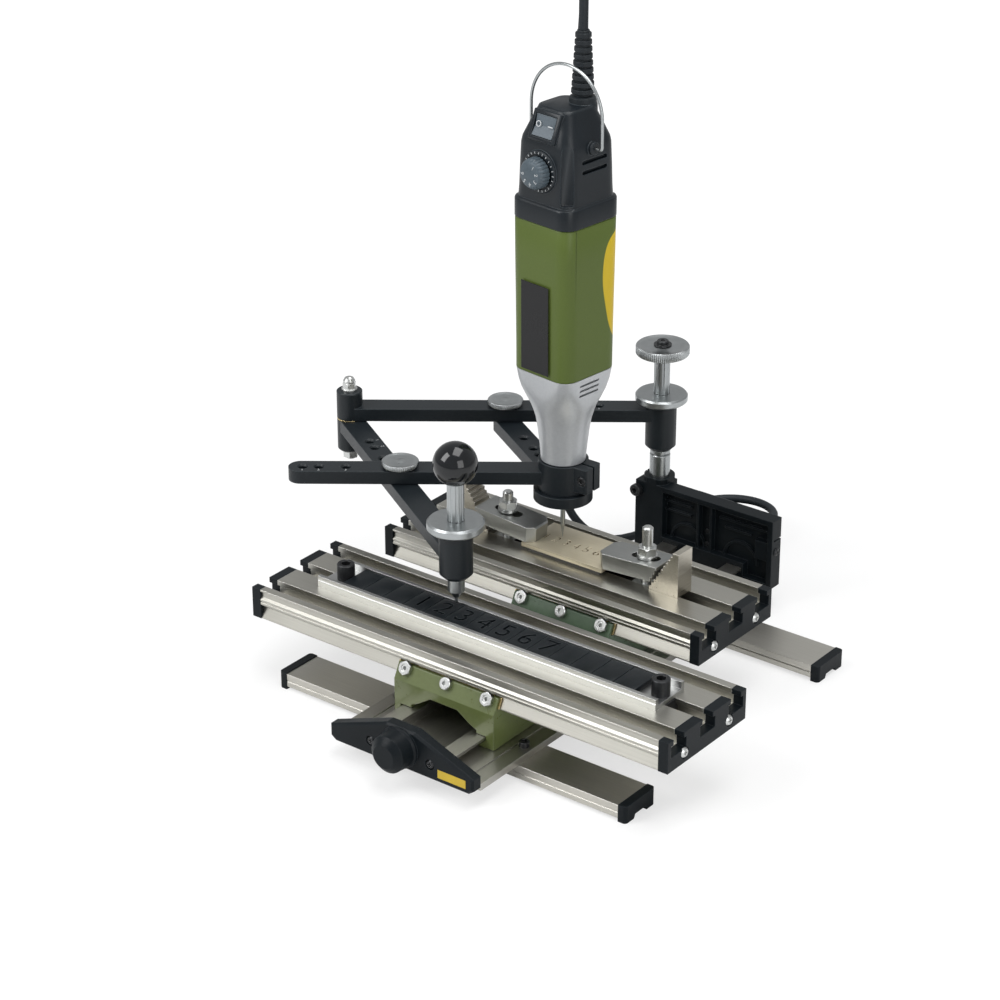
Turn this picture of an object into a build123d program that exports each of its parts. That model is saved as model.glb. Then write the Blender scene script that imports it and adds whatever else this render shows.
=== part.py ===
from build123d import *
import os
from math import atan2, cos, degrees, hypot, pi, radians, sin, sqrt, tan

# Pantograph engraving machine, in millimetres. X runs along the work tables, Y along the
# guide rail from the front end plate to the rear one, Z up from the bench.

# ---- frame: guide rail, feet and end plates ----
RAIL_LENGTH = 270.0
RAIL_WIDTH = 95.0
RAIL_FLANGE = 4.0
RAIL_HEIGHT = 6.8
RAIL_INNER = 17.6
RAIL_OUTER = 27.5
RAIL_UNDERCUT = 5.3
RAIL_EDGE = 1.6
FOOT_LENGTH = 222.0
FOOT_WIDTH = 25.3
FOOT_HEIGHT = 7.6
FOOT_RAISE = 1.9
FOOT_CAP = 5.0
FOOT_NOTCH = 12.0
FOOT_NOTCH_HEIGHT = 2.4
FOOT_TONGUE = 8.0
FOOT_SETBACK = 44.0
FRONT_PLATE = 6.5
FRONT_PLATE_END = 9.3
FRONT_PLATE_PEAK = 23.7
FRONT_PLATE_RIDGE = 18.4
FRONT_PLATE_BEVEL = 1.2
BOSS_RADIUS = 11.0
BOSS_DEPTH = 13.5
REAR_PLATE = 9.2
REAR_PLATE_HEIGHT = 43.0
REAR_PLATE_RIM = 3.2
REAR_PLATE_WEB = 4.0
REAR_PLATE_FOOT = 2.8
CLAMP_BLOCK = 19.0
CLAMP_BLOCK_DEPTH = 15.0
COLUMN_COLLAR = 9.0
COLUMN_COLLAR_HEIGHT = 3.4
COLUMN_RADIUS = 6.0
COLUMN_FROM_EDGE = 10.9
COLUMN_SETBACK = 8.4
COLUMN_BOTTOM = 18.0
COLUMN_TOP = 72.4

# ---- saddles and tables ----
SADDLE_WIDTH = 66.0
SADDLE_LENGTH = 77.8
SADDLE_TOP = 42.9
JAW_HEIGHT = 8.4
DOVETAIL_ANGLE = 27.0
ARCH_HEIGHT = 9.2
ARCH_TOP = 18.0
ARCH_MIDDLE = 34.0
GIB_THICKNESS = 0.8
FRONT_SADDLE_Y = -66.6
REAR_SADDLE_Y = 34.0
TABLE_WIDTH = 70.0
TABLE_TOP = 54.5
TABLE_THICKNESS = 17.7
TABLE_DOVETAIL = 7.2
TABLE_DOVETAIL_HALF = 34.5
TABLE_CAP = 5.9
SLOT_PITCH = 25.6
SLOT_MOUTH = 9.4
SLOT_INNER = 13.4
SLOT_LIP = 3.0
SLOT_DEPTH = 9.5
FRONT_TABLE_LENGTH = 263.0
FRONT_TABLE_X = 1.6
REAR_TABLE_LENGTH = 203.0
REAR_TABLE_X = -18.0
CAP_SCREW_SPACING = 40.0
CAP_SCREW_DROP = 12.1

# ---- template rail on the front table ----
TEMPLATE_RAIL_LENGTH = 223.4
TEMPLATE_RAIL_WIDTH = 25.4
TEMPLATE_RAIL_HEIGHT = 6.4
TEMPLATE_RAIL_WALL = 2.3
TEMPLATE_RAIL_FLOOR = 2.4
TEMPLATE_RAIL_OFFSET = 2.4
TEMPLATE_SCREW_INSET = 7.5
TILE_LENGTH = 13.8
TILE_THICKNESS = 3.5
TILE_COUNT = 14

# ---- work piece and clamps on the rear table ----
PACKING_THICKNESS = 1.5
WORK_LENGTH = 55.2
WORK_WIDTH = 31.0
WORK_THICKNESS = 2.5
WORK_X = -20.0
WORK_Y = 39.6
CLAMP_LENGTH = 40.0
CLAMP_WIDTH = 19.0
CLAMP_THICKNESS = 9.0
CLAMP_NOSE = 10.7
CLAMP_TILT = 4.0
CLAMP_SLOT_LENGTH = 18.0
LEFT_NOSE_X = -41.0
RIGHT_NOSE_X = 4.0
LEFT_STUD_X = -64.3
RIGHT_STUD_X = 31.0
LEFT_STUD_TOP = 81.5
RIGHT_STUD_TOP = 88.0
STUD_RADIUS = 3.0
STEP_COUNT = 11
STEP_RISE = 2.36
STEP_RUN = 1.5
STEP_BLOCK_WIDTH = 13.0
STEP_BLOCK_LAND = 2.4

# ---- pantograph arms ----
ARM_REACH = 180.0
ARM_WIDTH = 14.0
ARM_THICKNESS = 7.5
ARM_GAP = 0.4
ARM_TOP = 102.1
MAIN_ARM_ANGLE = -143.17
TRACER_ARM_ANGLE = -31.75
LINK_ARM_REACH = 152.0
HOLE_RADIUS = 2.3
HOLE_SINK = 1.0
SCALE_STEPS = (36.0, 45.0, 60.0)
PIVOT_RADIUS = 3.0
FULCRUM_BOSS = 9.0
FULCRUM_BOSS_BOTTOM = 75.6
DISC_BOTTOM = 105.7
DISC_RADIUS = 15.15
DISC_THICKNESS = 4.8
SPINDLE_RADIUS = 4.6
SPINDLE_TOP = 135.1
SPINDLE_BOTTOM = 40.0
WHEEL_RADIUS = 15.5
WHEEL_THICKNESS = 5.3
ELBOW_RADIUS = 7.5
ELBOW_TOP = 111.4
ELBOW_BOTTOM = 74.2
SPACER_THICKNESS = 0.6
THUMB_RADIUS = 10.35
THUMB_THICKNESS = 2.7
TRACER_BOSS = 9.1
TRACER_BOSS_BOTTOM = 77.5
TRACER_DISC_RADIUS = 15.5
TRACER_DISC_THICKNESS = 5.4
BALL_RADIUS = 12.0
BALL_CENTRE = 143.6
TRACER_FOOT = 69.3
STYLUS_CONE_BOTTOM = 65.5
STYLUS_TIP = 61.4
STYLUS_RADIUS = 0.9
FLUTE_COUNT = 8
FLUTE_RADIUS = 0.7

# ---- tool holder ----
HUB_RADIUS = 14.0
HUB_TOP = 108.0
SPIGOT_RADIUS = 12.0
EYE_RADIUS = 16.5
EYE_BOTTOM = 84.1
EYE_TOP = 90.2
EAR_REACH = 20.6
EAR_WIDTH = 14.0
EAR_BOTTOM = 93.5
EAR_SLIT = 1.6
RING_RADIUS = 13.6
RING_THICKNESS = 1.1

# ---- motor tool, upright in the holder ----
TOOL_TURN = -7.0
NECK_RADIUS = 10.0
NECK_BOTTOM = 85.2
NOSE_RADIUS = 12.4
NOSE_WAIST = 13.4
NOSE_SHOULDER = 18.2
BODY_BOTTOM = 163.5
BODY_HEIGHT = 87.0
BODY_TOP = BODY_BOTTOM + BODY_HEIGHT
BODY_HALF = 20.7
BODY_TOP_HALF = 21.3
BODY_CORNER = 8.0
TOOL_WALL = 2.4
CAP_COLLAR = 11.5
CAP_HALF = 19.7
CAP_HEIGHT = 43.5
CAP_SHOULDER = BODY_TOP + CAP_HEIGHT
CAP_SHOULDER_HALF = 18.9
CAP_SLOPE_HEIGHT = 18.0
CAP_TOP = CAP_SHOULDER + CAP_SLOPE_HEIGHT
CAP_TOP_HALF = 12.2
SPINDLE_SHAFT = 3.0
BEARING_RADIUS = 6.5
BEARING_WIDTH = 5.0
ROTOR_RADIUS = 11.0
MOTOR_LENGTH = 74.0
MOTOR_WALL = 5.5
COLLET_RADIUS = 6.0
COLLET_BOTTOM = 79.6
BIT_RADIUS = 1.35
BIT_POINT = 7.0
BIT_CLEARANCE = 0.4
DIAL_DROP = 14.5
DIAL_HEIGHT = CAP_SHOULDER - DIAL_DROP
DIAL_RADIUS = 8.5
DIAL_DEPTH = 7.0
DIAL_SEAT = 11.4
DIAL_SEAT_DEPTH = 1.6
SWITCH_WIDTH = 14.0
SWITCH_HEIGHT = 11.5
SWITCH_THICKNESS = 3.6
BAIL_HALF = 25.5
BAIL_WIRE = 0.9
BAIL_PIVOT_DROP = 2.0
BAIL_PIVOT = CAP_SHOULDER - BAIL_PIVOT_DROP
BAIL_RISE = 21.0
BAIL_TOP = CAP_TOP + BAIL_RISE
BAIL_SEAT = 4.0
CORNER_GROOVE = 7.0
RELIEF_X = 4.0
RELIEF_Y = 8.0
RELIEF_RADIUS = 5.9
RELIEF_TIP_RADIUS = 3.6
RELIEF_LENGTH = 36.0
RELIEF_COLLAR = 7.6
RELIEF_COLLAR_HEIGHT = 3.0

# ---- mains cord ----
CORD_RADIUS = 2.5
COIL_X = -26.0
COIL_Y = 195.5
COIL_MEAN = 25.0
COIL_HALF_TURNS = 5
COIL_LAYER = 5.9
COIL_PITCH = 6.6
TAIL_X = 28.0
TAIL_Y = 8.0
TAIL_RADIUS = 16.0
PLUG_LENGTH = 25.0
PLUG_WIDTH = 24.0
PLUG_THICKNESS = 14.0
PIN_RADIUS = 2.0
PIN_LENGTH = 17.0
PIN_SPACING = 19.0

# ---- clearances ----
SLIDE_GAP = 0.3
TURN_GAP = 0.3
RUN_GAP = 0.05
SEAT_GAP = 0.02
THREAD_GAP = 0.04
DIAL_GAP = 0.3
BEND_SHARE = 0.45

# ---- heights and places that follow ----
FLANGE_BOTTOM = FOOT_RAISE + FOOT_HEIGHT
FLANGE_TOP = FLANGE_BOTTOM + RAIL_FLANGE
RAIL_TOP = FLANGE_TOP + RAIL_HEIGHT
RAIL_END = RAIL_LENGTH / 2
FOOT_Y = RAIL_END - FOOT_SETBACK
TABLE_BOTTOM = TABLE_TOP - TABLE_THICKNESS
SADDLE_FLOOR = TABLE_BOTTOM - SLIDE_GAP
SLOPE = tan(radians(DOVETAIL_ANGLE))
SLANT = 1 / cos(radians(DOVETAIL_ANGLE))
SLOTS = (-SLOT_PITCH, 0.0, SLOT_PITCH)
TEMPLATE_FLOOR_TOP = TABLE_TOP + TEMPLATE_RAIL_FLOOR
WORK_BOTTOM = TABLE_TOP + PACKING_THICKNESS
WORK_TOP = WORK_BOTTOM + WORK_THICKNESS
UPPER_BOTTOM = ARM_TOP - ARM_THICKNESS
LOWER_TOP = UPPER_BOTTOM - ARM_GAP
LOWER_BOTTOM = LOWER_TOP - ARM_THICKNESS
BOSS_TOP = DISC_BOTTOM - TURN_GAP
REAR_PLATE_BOTTOM = FLANGE_TOP - 1.2
REAR_PLATE_TOP = REAR_PLATE_BOTTOM + REAR_PLATE_HEIGHT
BIT_TIP = WORK_TOP + BIT_CLEARANCE
RELIEF_BOTTOM = CAP_TOP + RELIEF_COLLAR_HEIGHT
RELIEF_TOP = RELIEF_BOTTOM + RELIEF_LENGTH


def beyond(start, reach, angle):
    """The point in plan that lies at a distance and angle from another."""
    return (start[0] + reach * cos(radians(angle)), start[1] + reach * sin(radians(angle)))


def between(start, end):
    """The point in plan half way between two others."""
    return ((start[0] + end[0]) / 2, (start[1] + end[1]) / 2)


FULCRUM = (COLUMN_FROM_EDGE - RAIL_WIDTH / 2, RAIL_END + COLUMN_SETBACK)
ELBOW = beyond(FULCRUM, ARM_REACH, MAIN_ARM_ANGLE)
TRACER = beyond(ELBOW, ARM_REACH, TRACER_ARM_ANGLE)
TOOL = between(FULCRUM, TRACER)
MAIN_PIN = between(FULCRUM, ELBOW)
LINK_PIN = between(ELBOW, TRACER)

PARTS = {}


def keep(name, *solids):
    """Store the solid of a named piece, or the solids of a group of like pieces."""
    PARTS[name] = list(solids)


# ---- shapes that several pieces share ----

def block(x0, x1, y0, y1, z0, z1):
    """A box between two corners."""
    return Pos((x0 + x1) / 2, (y0 + y1) / 2, (z0 + z1) / 2) * Box(x1 - x0, y1 - y0, z1 - z0)


def rod(point, z0, z1, radius):
    """An upright cylinder over a point in plan."""
    return Pos(point[0], point[1], (z0 + z1) / 2) * Cylinder(radius, z1 - z0)


def tube(point, z0, z1, outer, inner):
    """An upright ring over a point in plan."""
    return rod(point, z0, z1, outer) - rod(point, z0 - 1, z1 + 1, inner)


def along_y(outline, y0, y1):
    """A closed outline of X and Z values, drawn out along Y."""
    face = Plane.XZ * Polygon(*outline, align=None)
    return Pos(0, y0, 0) * extrude(face, amount=y1 - y0, dir=(0, 1, 0))


def along_x(outline, x0, x1):
    """A closed outline of Y and Z values, drawn out along X."""
    face = Plane.YZ * Polygon(*outline, align=None)
    return Pos(x0, 0, 0) * extrude(face, amount=x1 - x0, dir=(1, 0, 0))


def turned(outline):
    """A closed outline of radius and height values, turned about the Z axis."""
    return revolve(Plane.XZ * Polygon(*outline, align=None), Axis.Z)


def aim(point, direction):
    """The placing of a screw whose head points in a direction from its seat."""
    return Plane(origin=point, z_dir=direction).location


def hexagon(across, z0, z1):
    """An upright hexagonal prism on the Z axis, from its width across flats."""
    return Pos(0, 0, z0) * extrude(RegularPolygon(across / 2, 6, major_radius=False), z1 - z0)


def socket_screw(radius, length, head, height, across):
    """A cap screw with a hexagon socket, its seat at Z 0 and its shank below."""
    screw = turned([(0, -length), (radius, -length), (radius, 0), (head, 0),
                    (head, height - 0.4), (head - 0.4, height), (0, height)])
    return screw - hexagon(across, height / 2, height + 1)


def cross_screw(radius, length, head, height):
    """A pan head screw with a cross recess, its seat at Z 0."""
    screw = turned([(0, -length), (radius, -length), (radius, 0), (head, 0),
                    (head, height * 0.4), (head * 0.7, height), (0, height)])
    arm = head * 1.1
    slot = Pos(0, 0, height) * (Box(arm, 0.7, height) + Box(0.7, arm, height))
    return screw - slot


def grub_screw(radius, length, across):
    """A headless screw with a hexagon socket in its upper end, which is at Z 0."""
    return rod((0, 0), -length, 0, radius) - hexagon(across, -length / 2, 1)


def hex_nut(across, height, bore):
    """A nut that stands on Z 0, its corners turned off at both ends."""
    blunt = turned([(0, 0), (across * 0.5, 0), (across * 0.58, height * 0.15),
                    (across * 0.58, height * 0.85), (across * 0.5, height), (0, height)])
    return (hexagon(across, 0, height) & blunt) - rod((0, 0), -1, height + 1, bore)


def bar(start, end, z0, z1, width):
    """A flat bar with round ends, from one point in plan to another."""
    middle = between(start, end)
    reach = hypot(end[0] - start[0], end[1] - start[1])
    angle = degrees(atan2(end[1] - start[1], end[0] - start[0]))
    shape = extrude(SlotCenterToCenter(reach, width), z1 - z0)
    return Pos(middle[0], middle[1], z0) * Rot(0, 0, angle) * shape


def scale_holes(start, angle, top, bottom, distances):
    """The sunk holes along an arm into which a pivot can be moved for another scale."""
    cutter = turned([(0, bottom - 1), (HOLE_RADIUS, bottom - 1), (HOLE_RADIUS, top - HOLE_SINK),
                     (HOLE_RADIUS + HOLE_SINK, top), (HOLE_RADIUS + HOLE_SINK, top + 1), (0, top + 1)])
    return [Pos(*beyond(start, distance, angle), 0) * cutter for distance in distances]


def fluted(radius, z0, z1):
    """A shaft with shallow flutes along it, on the Z axis."""
    shaft = rod((0, 0), z0, z1, radius)
    for turn in range(FLUTE_COUNT):
        place = beyond((0, 0), radius + FLUTE_RADIUS * 0.4, turn * 360 / FLUTE_COUNT)
        shaft -= rod(place, z0 - 1, z1 + 1, FLUTE_RADIUS)
    return shaft


def soft_square(half, corner, z):
    """A square with round corners at a height, centred on the Z axis."""
    return Plane.XY.offset(z) * RectangleRounded(2 * half, 2 * half, corner)


def upright(solid):
    """Set a piece of the motor tool, drawn on its own axis, into the tool holder."""
    return Pos(TOOL[0], TOOL[1], 0) * Rot(0, 0, TOOL_TURN) * solid


# ---- guide rail, feet and end plates ----

FLANGE_HOLES = [(side * (RAIL_WIDTH / 2 - 5.5), end * FOOT_Y) for side in (-1, 1) for end in (-1, 1)]
FLANGE_SCREW = 1.6
FLANGE_SCREW_LENGTH = 8.0
PLATE_SCREW = 1.25
PLATE_SCREW_X = 19.6
PLATE_SCREW_Z = FLANGE_TOP + 4.4
REAR_SCREW_X = (RAIL_INNER + RAIL_OUTER) / 2 - 1.0
REAR_SCREW_Z = FLANGE_TOP + 4.0
PLATE_SCREW_LENGTH = 14.0


def make_guide_rail():
    """A flange with two dovetail rails on it, extruded in one piece."""
    half = RAIL_WIDTH / 2
    rail = block(-half, half, -RAIL_END, RAIL_END, FLANGE_BOTTOM, FLANGE_TOP)
    for side in (-1, 1):
        outline = [(side * (RAIL_OUTER - RAIL_UNDERCUT), FLANGE_TOP),
                   (side * RAIL_OUTER, RAIL_TOP - RAIL_EDGE), (side * RAIL_OUTER, RAIL_TOP),
                   (side * RAIL_INNER, RAIL_TOP), (side * RAIL_INNER, RAIL_TOP - RAIL_EDGE),
                   (side * (RAIL_INNER + 0.5), RAIL_TOP - RAIL_EDGE - 0.6),
                   (side * (RAIL_INNER + 0.5), FLANGE_TOP)]
        rail += along_y(outline, -RAIL_END, RAIL_END)
        groove = block(side * (half - 9) - 0.6, side * (half - 9) + 0.6, -RAIL_END - 1, RAIL_END + 1,
                       FLANGE_TOP - 0.5, FLANGE_TOP + 1)
        rail -= groove
        rail -= aim((side * PLATE_SCREW_X, -RAIL_END, PLATE_SCREW_Z), (0, -1, 0)) * rod(
            (0, 0), -PLATE_SCREW_LENGTH, 1, PLATE_SCREW + THREAD_GAP)
        rail -= aim((side * REAR_SCREW_X, RAIL_END, REAR_SCREW_Z), (0, 1, 0)) * rod(
            (0, 0), -PLATE_SCREW_LENGTH, 1, PLATE_SCREW + THREAD_GAP)
    for hole in FLANGE_HOLES:
        rail -= rod(hole, FLANGE_BOTTOM - 1, FLANGE_TOP + 1, FLANGE_SCREW + THREAD_GAP)
    keep("guide_rail", rail)


def make_feet():
    """Two cross bars under the rail, and the plastic caps on their ends."""
    bars = []
    caps = []
    depth = FOOT_WIDTH / 2
    notch = FOOT_NOTCH / 2
    for end in (-1, 1):
        middle = end * FOOT_Y
        foot = block(-FOOT_LENGTH / 2, FOOT_LENGTH / 2, middle - depth, middle + depth,
                     FOOT_RAISE, FLANGE_BOTTOM)
        foot -= block(-FOOT_LENGTH, FOOT_LENGTH, middle - notch, middle + notch,
                      0, FOOT_RAISE + FOOT_NOTCH_HEIGHT)
        for edge in (-1, 1):
            line = middle + edge * depth
            foot -= block(-FOOT_LENGTH, FOOT_LENGTH, line - 0.4, line + 0.4,
                          FOOT_RAISE + 3.0, FOOT_RAISE + 3.7)
        for hole in FLANGE_HOLES:
            if hole[1] * end > 0:
                foot -= rod(hole, 0, FLANGE_BOTTOM + 1, FLANGE_SCREW + THREAD_GAP)
        bars.append(foot)
        for side in (-1, 1):
            caps.append(foot_cap(side, middle))
    keep("foot_bars", *bars)
    keep("foot_caps", *caps)


def foot_cap(side, middle):
    """A foot bar's end cap: two pads that stand on the bench, and a tongue in the bar."""
    near = side * FOOT_LENGTH / 2
    far = side * (FOOT_LENGTH / 2 + FOOT_CAP)
    depth = FOOT_WIDTH / 2 + 0.3
    cap = block(min(near, far), max(near, far), middle - depth, middle + depth, 0, FLANGE_BOTTOM + 0.4)
    cap = fillet(cap.edges().filter_by(Axis.Z).group_by(Axis.X)[-1 if side > 0 else 0], 2.0)
    notch = FOOT_NOTCH / 2 - 1.5
    cut = along_x([(middle - notch - 1.5, -1), (middle + notch + 1.5, -1),
                   (middle + notch, FOOT_NOTCH_HEIGHT), (middle - notch, FOOT_NOTCH_HEIGHT)],
                  min(near, far) - 1, max(near, far) + 1)
    tongue = block(min(near, near - side * FOOT_TONGUE), max(near, near - side * FOOT_TONGUE),
                   middle - FOOT_NOTCH / 2 + 0.1, middle + FOOT_NOTCH / 2 - 0.1,
                   FOOT_RAISE + 0.3, FOOT_RAISE + FOOT_NOTCH_HEIGHT)
    upper = block(min(near, far), max(near, far), middle - FOOT_NOTCH / 2, middle + FOOT_NOTCH / 2,
                  FOOT_NOTCH_HEIGHT, FLANGE_BOTTOM)
    return (cap - cut) + upper + tongue


def make_front_plate():
    """The bevelled front end plate and the round blanking boss on it."""
    half = RAIL_WIDTH / 2
    bottom = FLANGE_BOTTOM - 0.5
    ridge = FRONT_PLATE_RIDGE / 2
    outline = [(-half + 3.5, bottom), (half - 3.5, bottom), (half, bottom + 2.5),
               (half, bottom + FRONT_PLATE_END), (ridge, bottom + FRONT_PLATE_PEAK),
               (-ridge, bottom + FRONT_PLATE_PEAK), (-half, bottom + FRONT_PLATE_END),
               (-half, bottom + 2.5)]
    front = -RAIL_END - FRONT_PLATE
    plate = along_y(outline, front, -RAIL_END)
    plate = chamfer(plate.faces().sort_by(Axis.Y)[0].edges(), FRONT_PLATE_BEVEL)
    for side in (-1, 1):
        plate -= aim((side * PLATE_SCREW_X, front, PLATE_SCREW_Z), (0, -1, 0)) * (
            rod((0, 0), -FRONT_PLATE - 1, 1, PLATE_SCREW + THREAD_GAP) + rod((0, 0), -1.2, 1, 3.0))
    centre = (0, front, bottom + FRONT_PLATE_PEAK / 2 + 0.6)
    plate -= aim(centre, (0, -1, 0)) * rod((0, 0), -3.0, 1, 6.0 + SEAT_GAP)
    cap = turned([(0, -3.0), (6.0, -3.0), (6.0, 0), (BOSS_RADIUS + 0.8, 0), (BOSS_RADIUS + 0.8, 1.2),
                   (BOSS_RADIUS, 2.4), (BOSS_RADIUS - 0.6, BOSS_DEPTH - 3.2),
                   (BOSS_RADIUS - 3.0, BOSS_DEPTH - 1.0), (BOSS_RADIUS - 4.4, BOSS_DEPTH), (0, BOSS_DEPTH)])
    keep("front_end_plate", plate, aim(centre, (0, -1, 0)) * cap)


CLAMP_SCREW_Z = REAR_PLATE_TOP - 6.0
CLAMP_SCREW_X = COLUMN_FROM_EDGE - RAIL_WIDTH / 2 - COLUMN_RADIUS + 1.4
SIDE_SCREW_Z = REAR_PLATE_BOTTOM + 22.5


def make_rear_plate():
    """The ribbed rear end plate, cast with the split clamp that holds the column."""
    half = RAIL_WIDTH / 2
    front = RAIL_END
    back = front + REAR_PLATE
    floor = back - REAR_PLATE_WEB
    plate = block(-half, half, front, back, REAR_PLATE_BOTTOM, REAR_PLATE_TOP)
    clamp_right = CLAMP_BLOCK - half
    plate -= block(clamp_right, half - REAR_PLATE_RIM, front - 1, floor,
                   REAR_PLATE_BOTTOM + REAR_PLATE_FOOT, REAR_PLATE_TOP - REAR_PLATE_RIM)
    plate += block(-RAIL_OUTER - 1, RAIL_OUTER + 1, front, floor,
                   REAR_PLATE_BOTTOM, RAIL_TOP + 3.0)
    for rib in (-4.5, 4.5):
        plate += block(rib - 0.7, rib + 0.7, front + 1.4, floor, RAIL_TOP, REAR_PLATE_TOP - 3.0)
    for left, right, height in ((-28.6, -10.6, 46.0), (-28.6, -10.6, 40.3), (13.0, 44.3, 50.5),
                                (9.0, 44.3, 46.0), (13.0, 30.6, 40.8)):
        plate += block(left, right, floor - 1.6, floor, height - 0.7, height + 0.7)
    plate += block(half - 12.0, half - REAR_PLATE_RIM, front + 1.0, floor, 29.0, 40.4)
    for side, middle in ((-1, -13.0), (1, 24.0)):
        arc = aim((middle, floor, RAIL_TOP + 2.4), (0, -1, 0)) * (
            rod((0, 0), 0, 1.6, 12.0) - rod((0, 0), -1, 3, 10.6))
        plate += arc & block(-half, half, front, back, RAIL_TOP + 2.0, REAR_PLATE_TOP)
    plate += block(-half, clamp_right, back, front + CLAMP_BLOCK_DEPTH, REAR_PLATE_BOTTOM, REAR_PLATE_TOP)
    plate += rod(FULCRUM, REAR_PLATE_TOP - 1, REAR_PLATE_TOP + COLUMN_COLLAR_HEIGHT, COLUMN_COLLAR) & block(
        -half, clamp_right, front, front + CLAMP_BLOCK_DEPTH + 5, REAR_PLATE_TOP - 2, REAR_PLATE_TOP + 9)
    plate -= rod(FULCRUM, COLUMN_BOTTOM - 1, REAR_PLATE_TOP + 9, COLUMN_RADIUS + RUN_GAP)
    plate -= block(-half - 1, FULCRUM[0], FULCRUM[1] - 0.6, FULCRUM[1] + 0.6,
                   REAR_PLATE_TOP - 24, REAR_PLATE_TOP + 9)
    plate -= aim((CLAMP_SCREW_X - 5.0, front, CLAMP_SCREW_Z), (0, -1, 0)) * rod(
        (0, 0), -CLAMP_BLOCK_DEPTH + 2, 1, 1.6 + THREAD_GAP)
    plate -= block(half - 6, half + 1, front + 2, back + 1, 42.0, 43.0)
    plate -= aim((half, front + 4.6, SIDE_SCREW_Z), (1, 0, 0)) * rod((0, 0), -8, 1, 1.25 + THREAD_GAP)
    for height in (25.3, 33.4):
        plate -= aim((0, floor, height), (0, -1, 0)) * rod((0, 0), -REAR_PLATE_WEB - 1, 1, 1.6)
    for side in (-1, 1):
        plate -= aim((side * REAR_SCREW_X, back, REAR_SCREW_Z), (0, 1, 0)) * (
            rod((0, 0), -REAR_PLATE - 1, 1, PLATE_SCREW + THREAD_GAP) + rod((0, 0), -1.8, 1, 2.9))
    keep("rear_end_plate", plate)


def make_frame_screws():
    """The screws of the frame: flange, end plates, column clamp and side."""
    screws = []
    for hole in FLANGE_HOLES:
        screws.append(Pos(hole[0], hole[1], FLANGE_TOP)
                      * socket_screw(FLANGE_SCREW, FLANGE_SCREW_LENGTH, 2.9, 3.0, 2.5))
    front = -RAIL_END - FRONT_PLATE
    for side in (-1, 1):
        screws.append(aim((side * PLATE_SCREW_X, front + 1.2, PLATE_SCREW_Z), (0, -1, 0))
                      * cross_screw(PLATE_SCREW, 14.0, 2.6, 1.5))
        screws.append(aim((side * REAR_SCREW_X, RAIL_END + REAR_PLATE - 1.8, REAR_SCREW_Z), (0, 1, 0))
                      * cross_screw(PLATE_SCREW, 14.0, 2.6, 1.5))
    screws.append(aim((CLAMP_SCREW_X - 5.0, RAIL_END, CLAMP_SCREW_Z), (0, -1, 0))
                  * socket_screw(1.6, 11.0, 3.6, 3.2, 3.0))
    screws.append(aim((RAIL_WIDTH / 2, RAIL_END + 4.6, SIDE_SCREW_Z), (1, 0, 0))
                  * cross_screw(1.25, 7.0, 2.3, 1.0))
    keep("frame_screws", *screws)


# ---- saddles ----

GRUB_RADIUS = 2.0
GRUB_LENGTH = 7.0
GRUB_X = 27.0
GRUB_HEIGHT = 41.0
NUT_ACROSS = 7.0
NUT_HEIGHT = 2.6
SIDE_GRUB_Y = 24.0
JAW_NORMAL = (0, -cos(radians(DOVETAIL_ANGLE)), sin(radians(DOVETAIL_ANGLE)))


def table_half(height):
    """Half the width of the table's dovetail at a height."""
    return TABLE_DOVETAIL_HALF - (height - TABLE_BOTTOM - 0.6) * SLOPE


def jaw_face(height):
    """How far a saddle's sloping outer face lies from its middle at a height."""
    return SADDLE_LENGTH / 2 - (height - SADDLE_TOP + JAW_HEIGHT) * SLOPE


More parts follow.
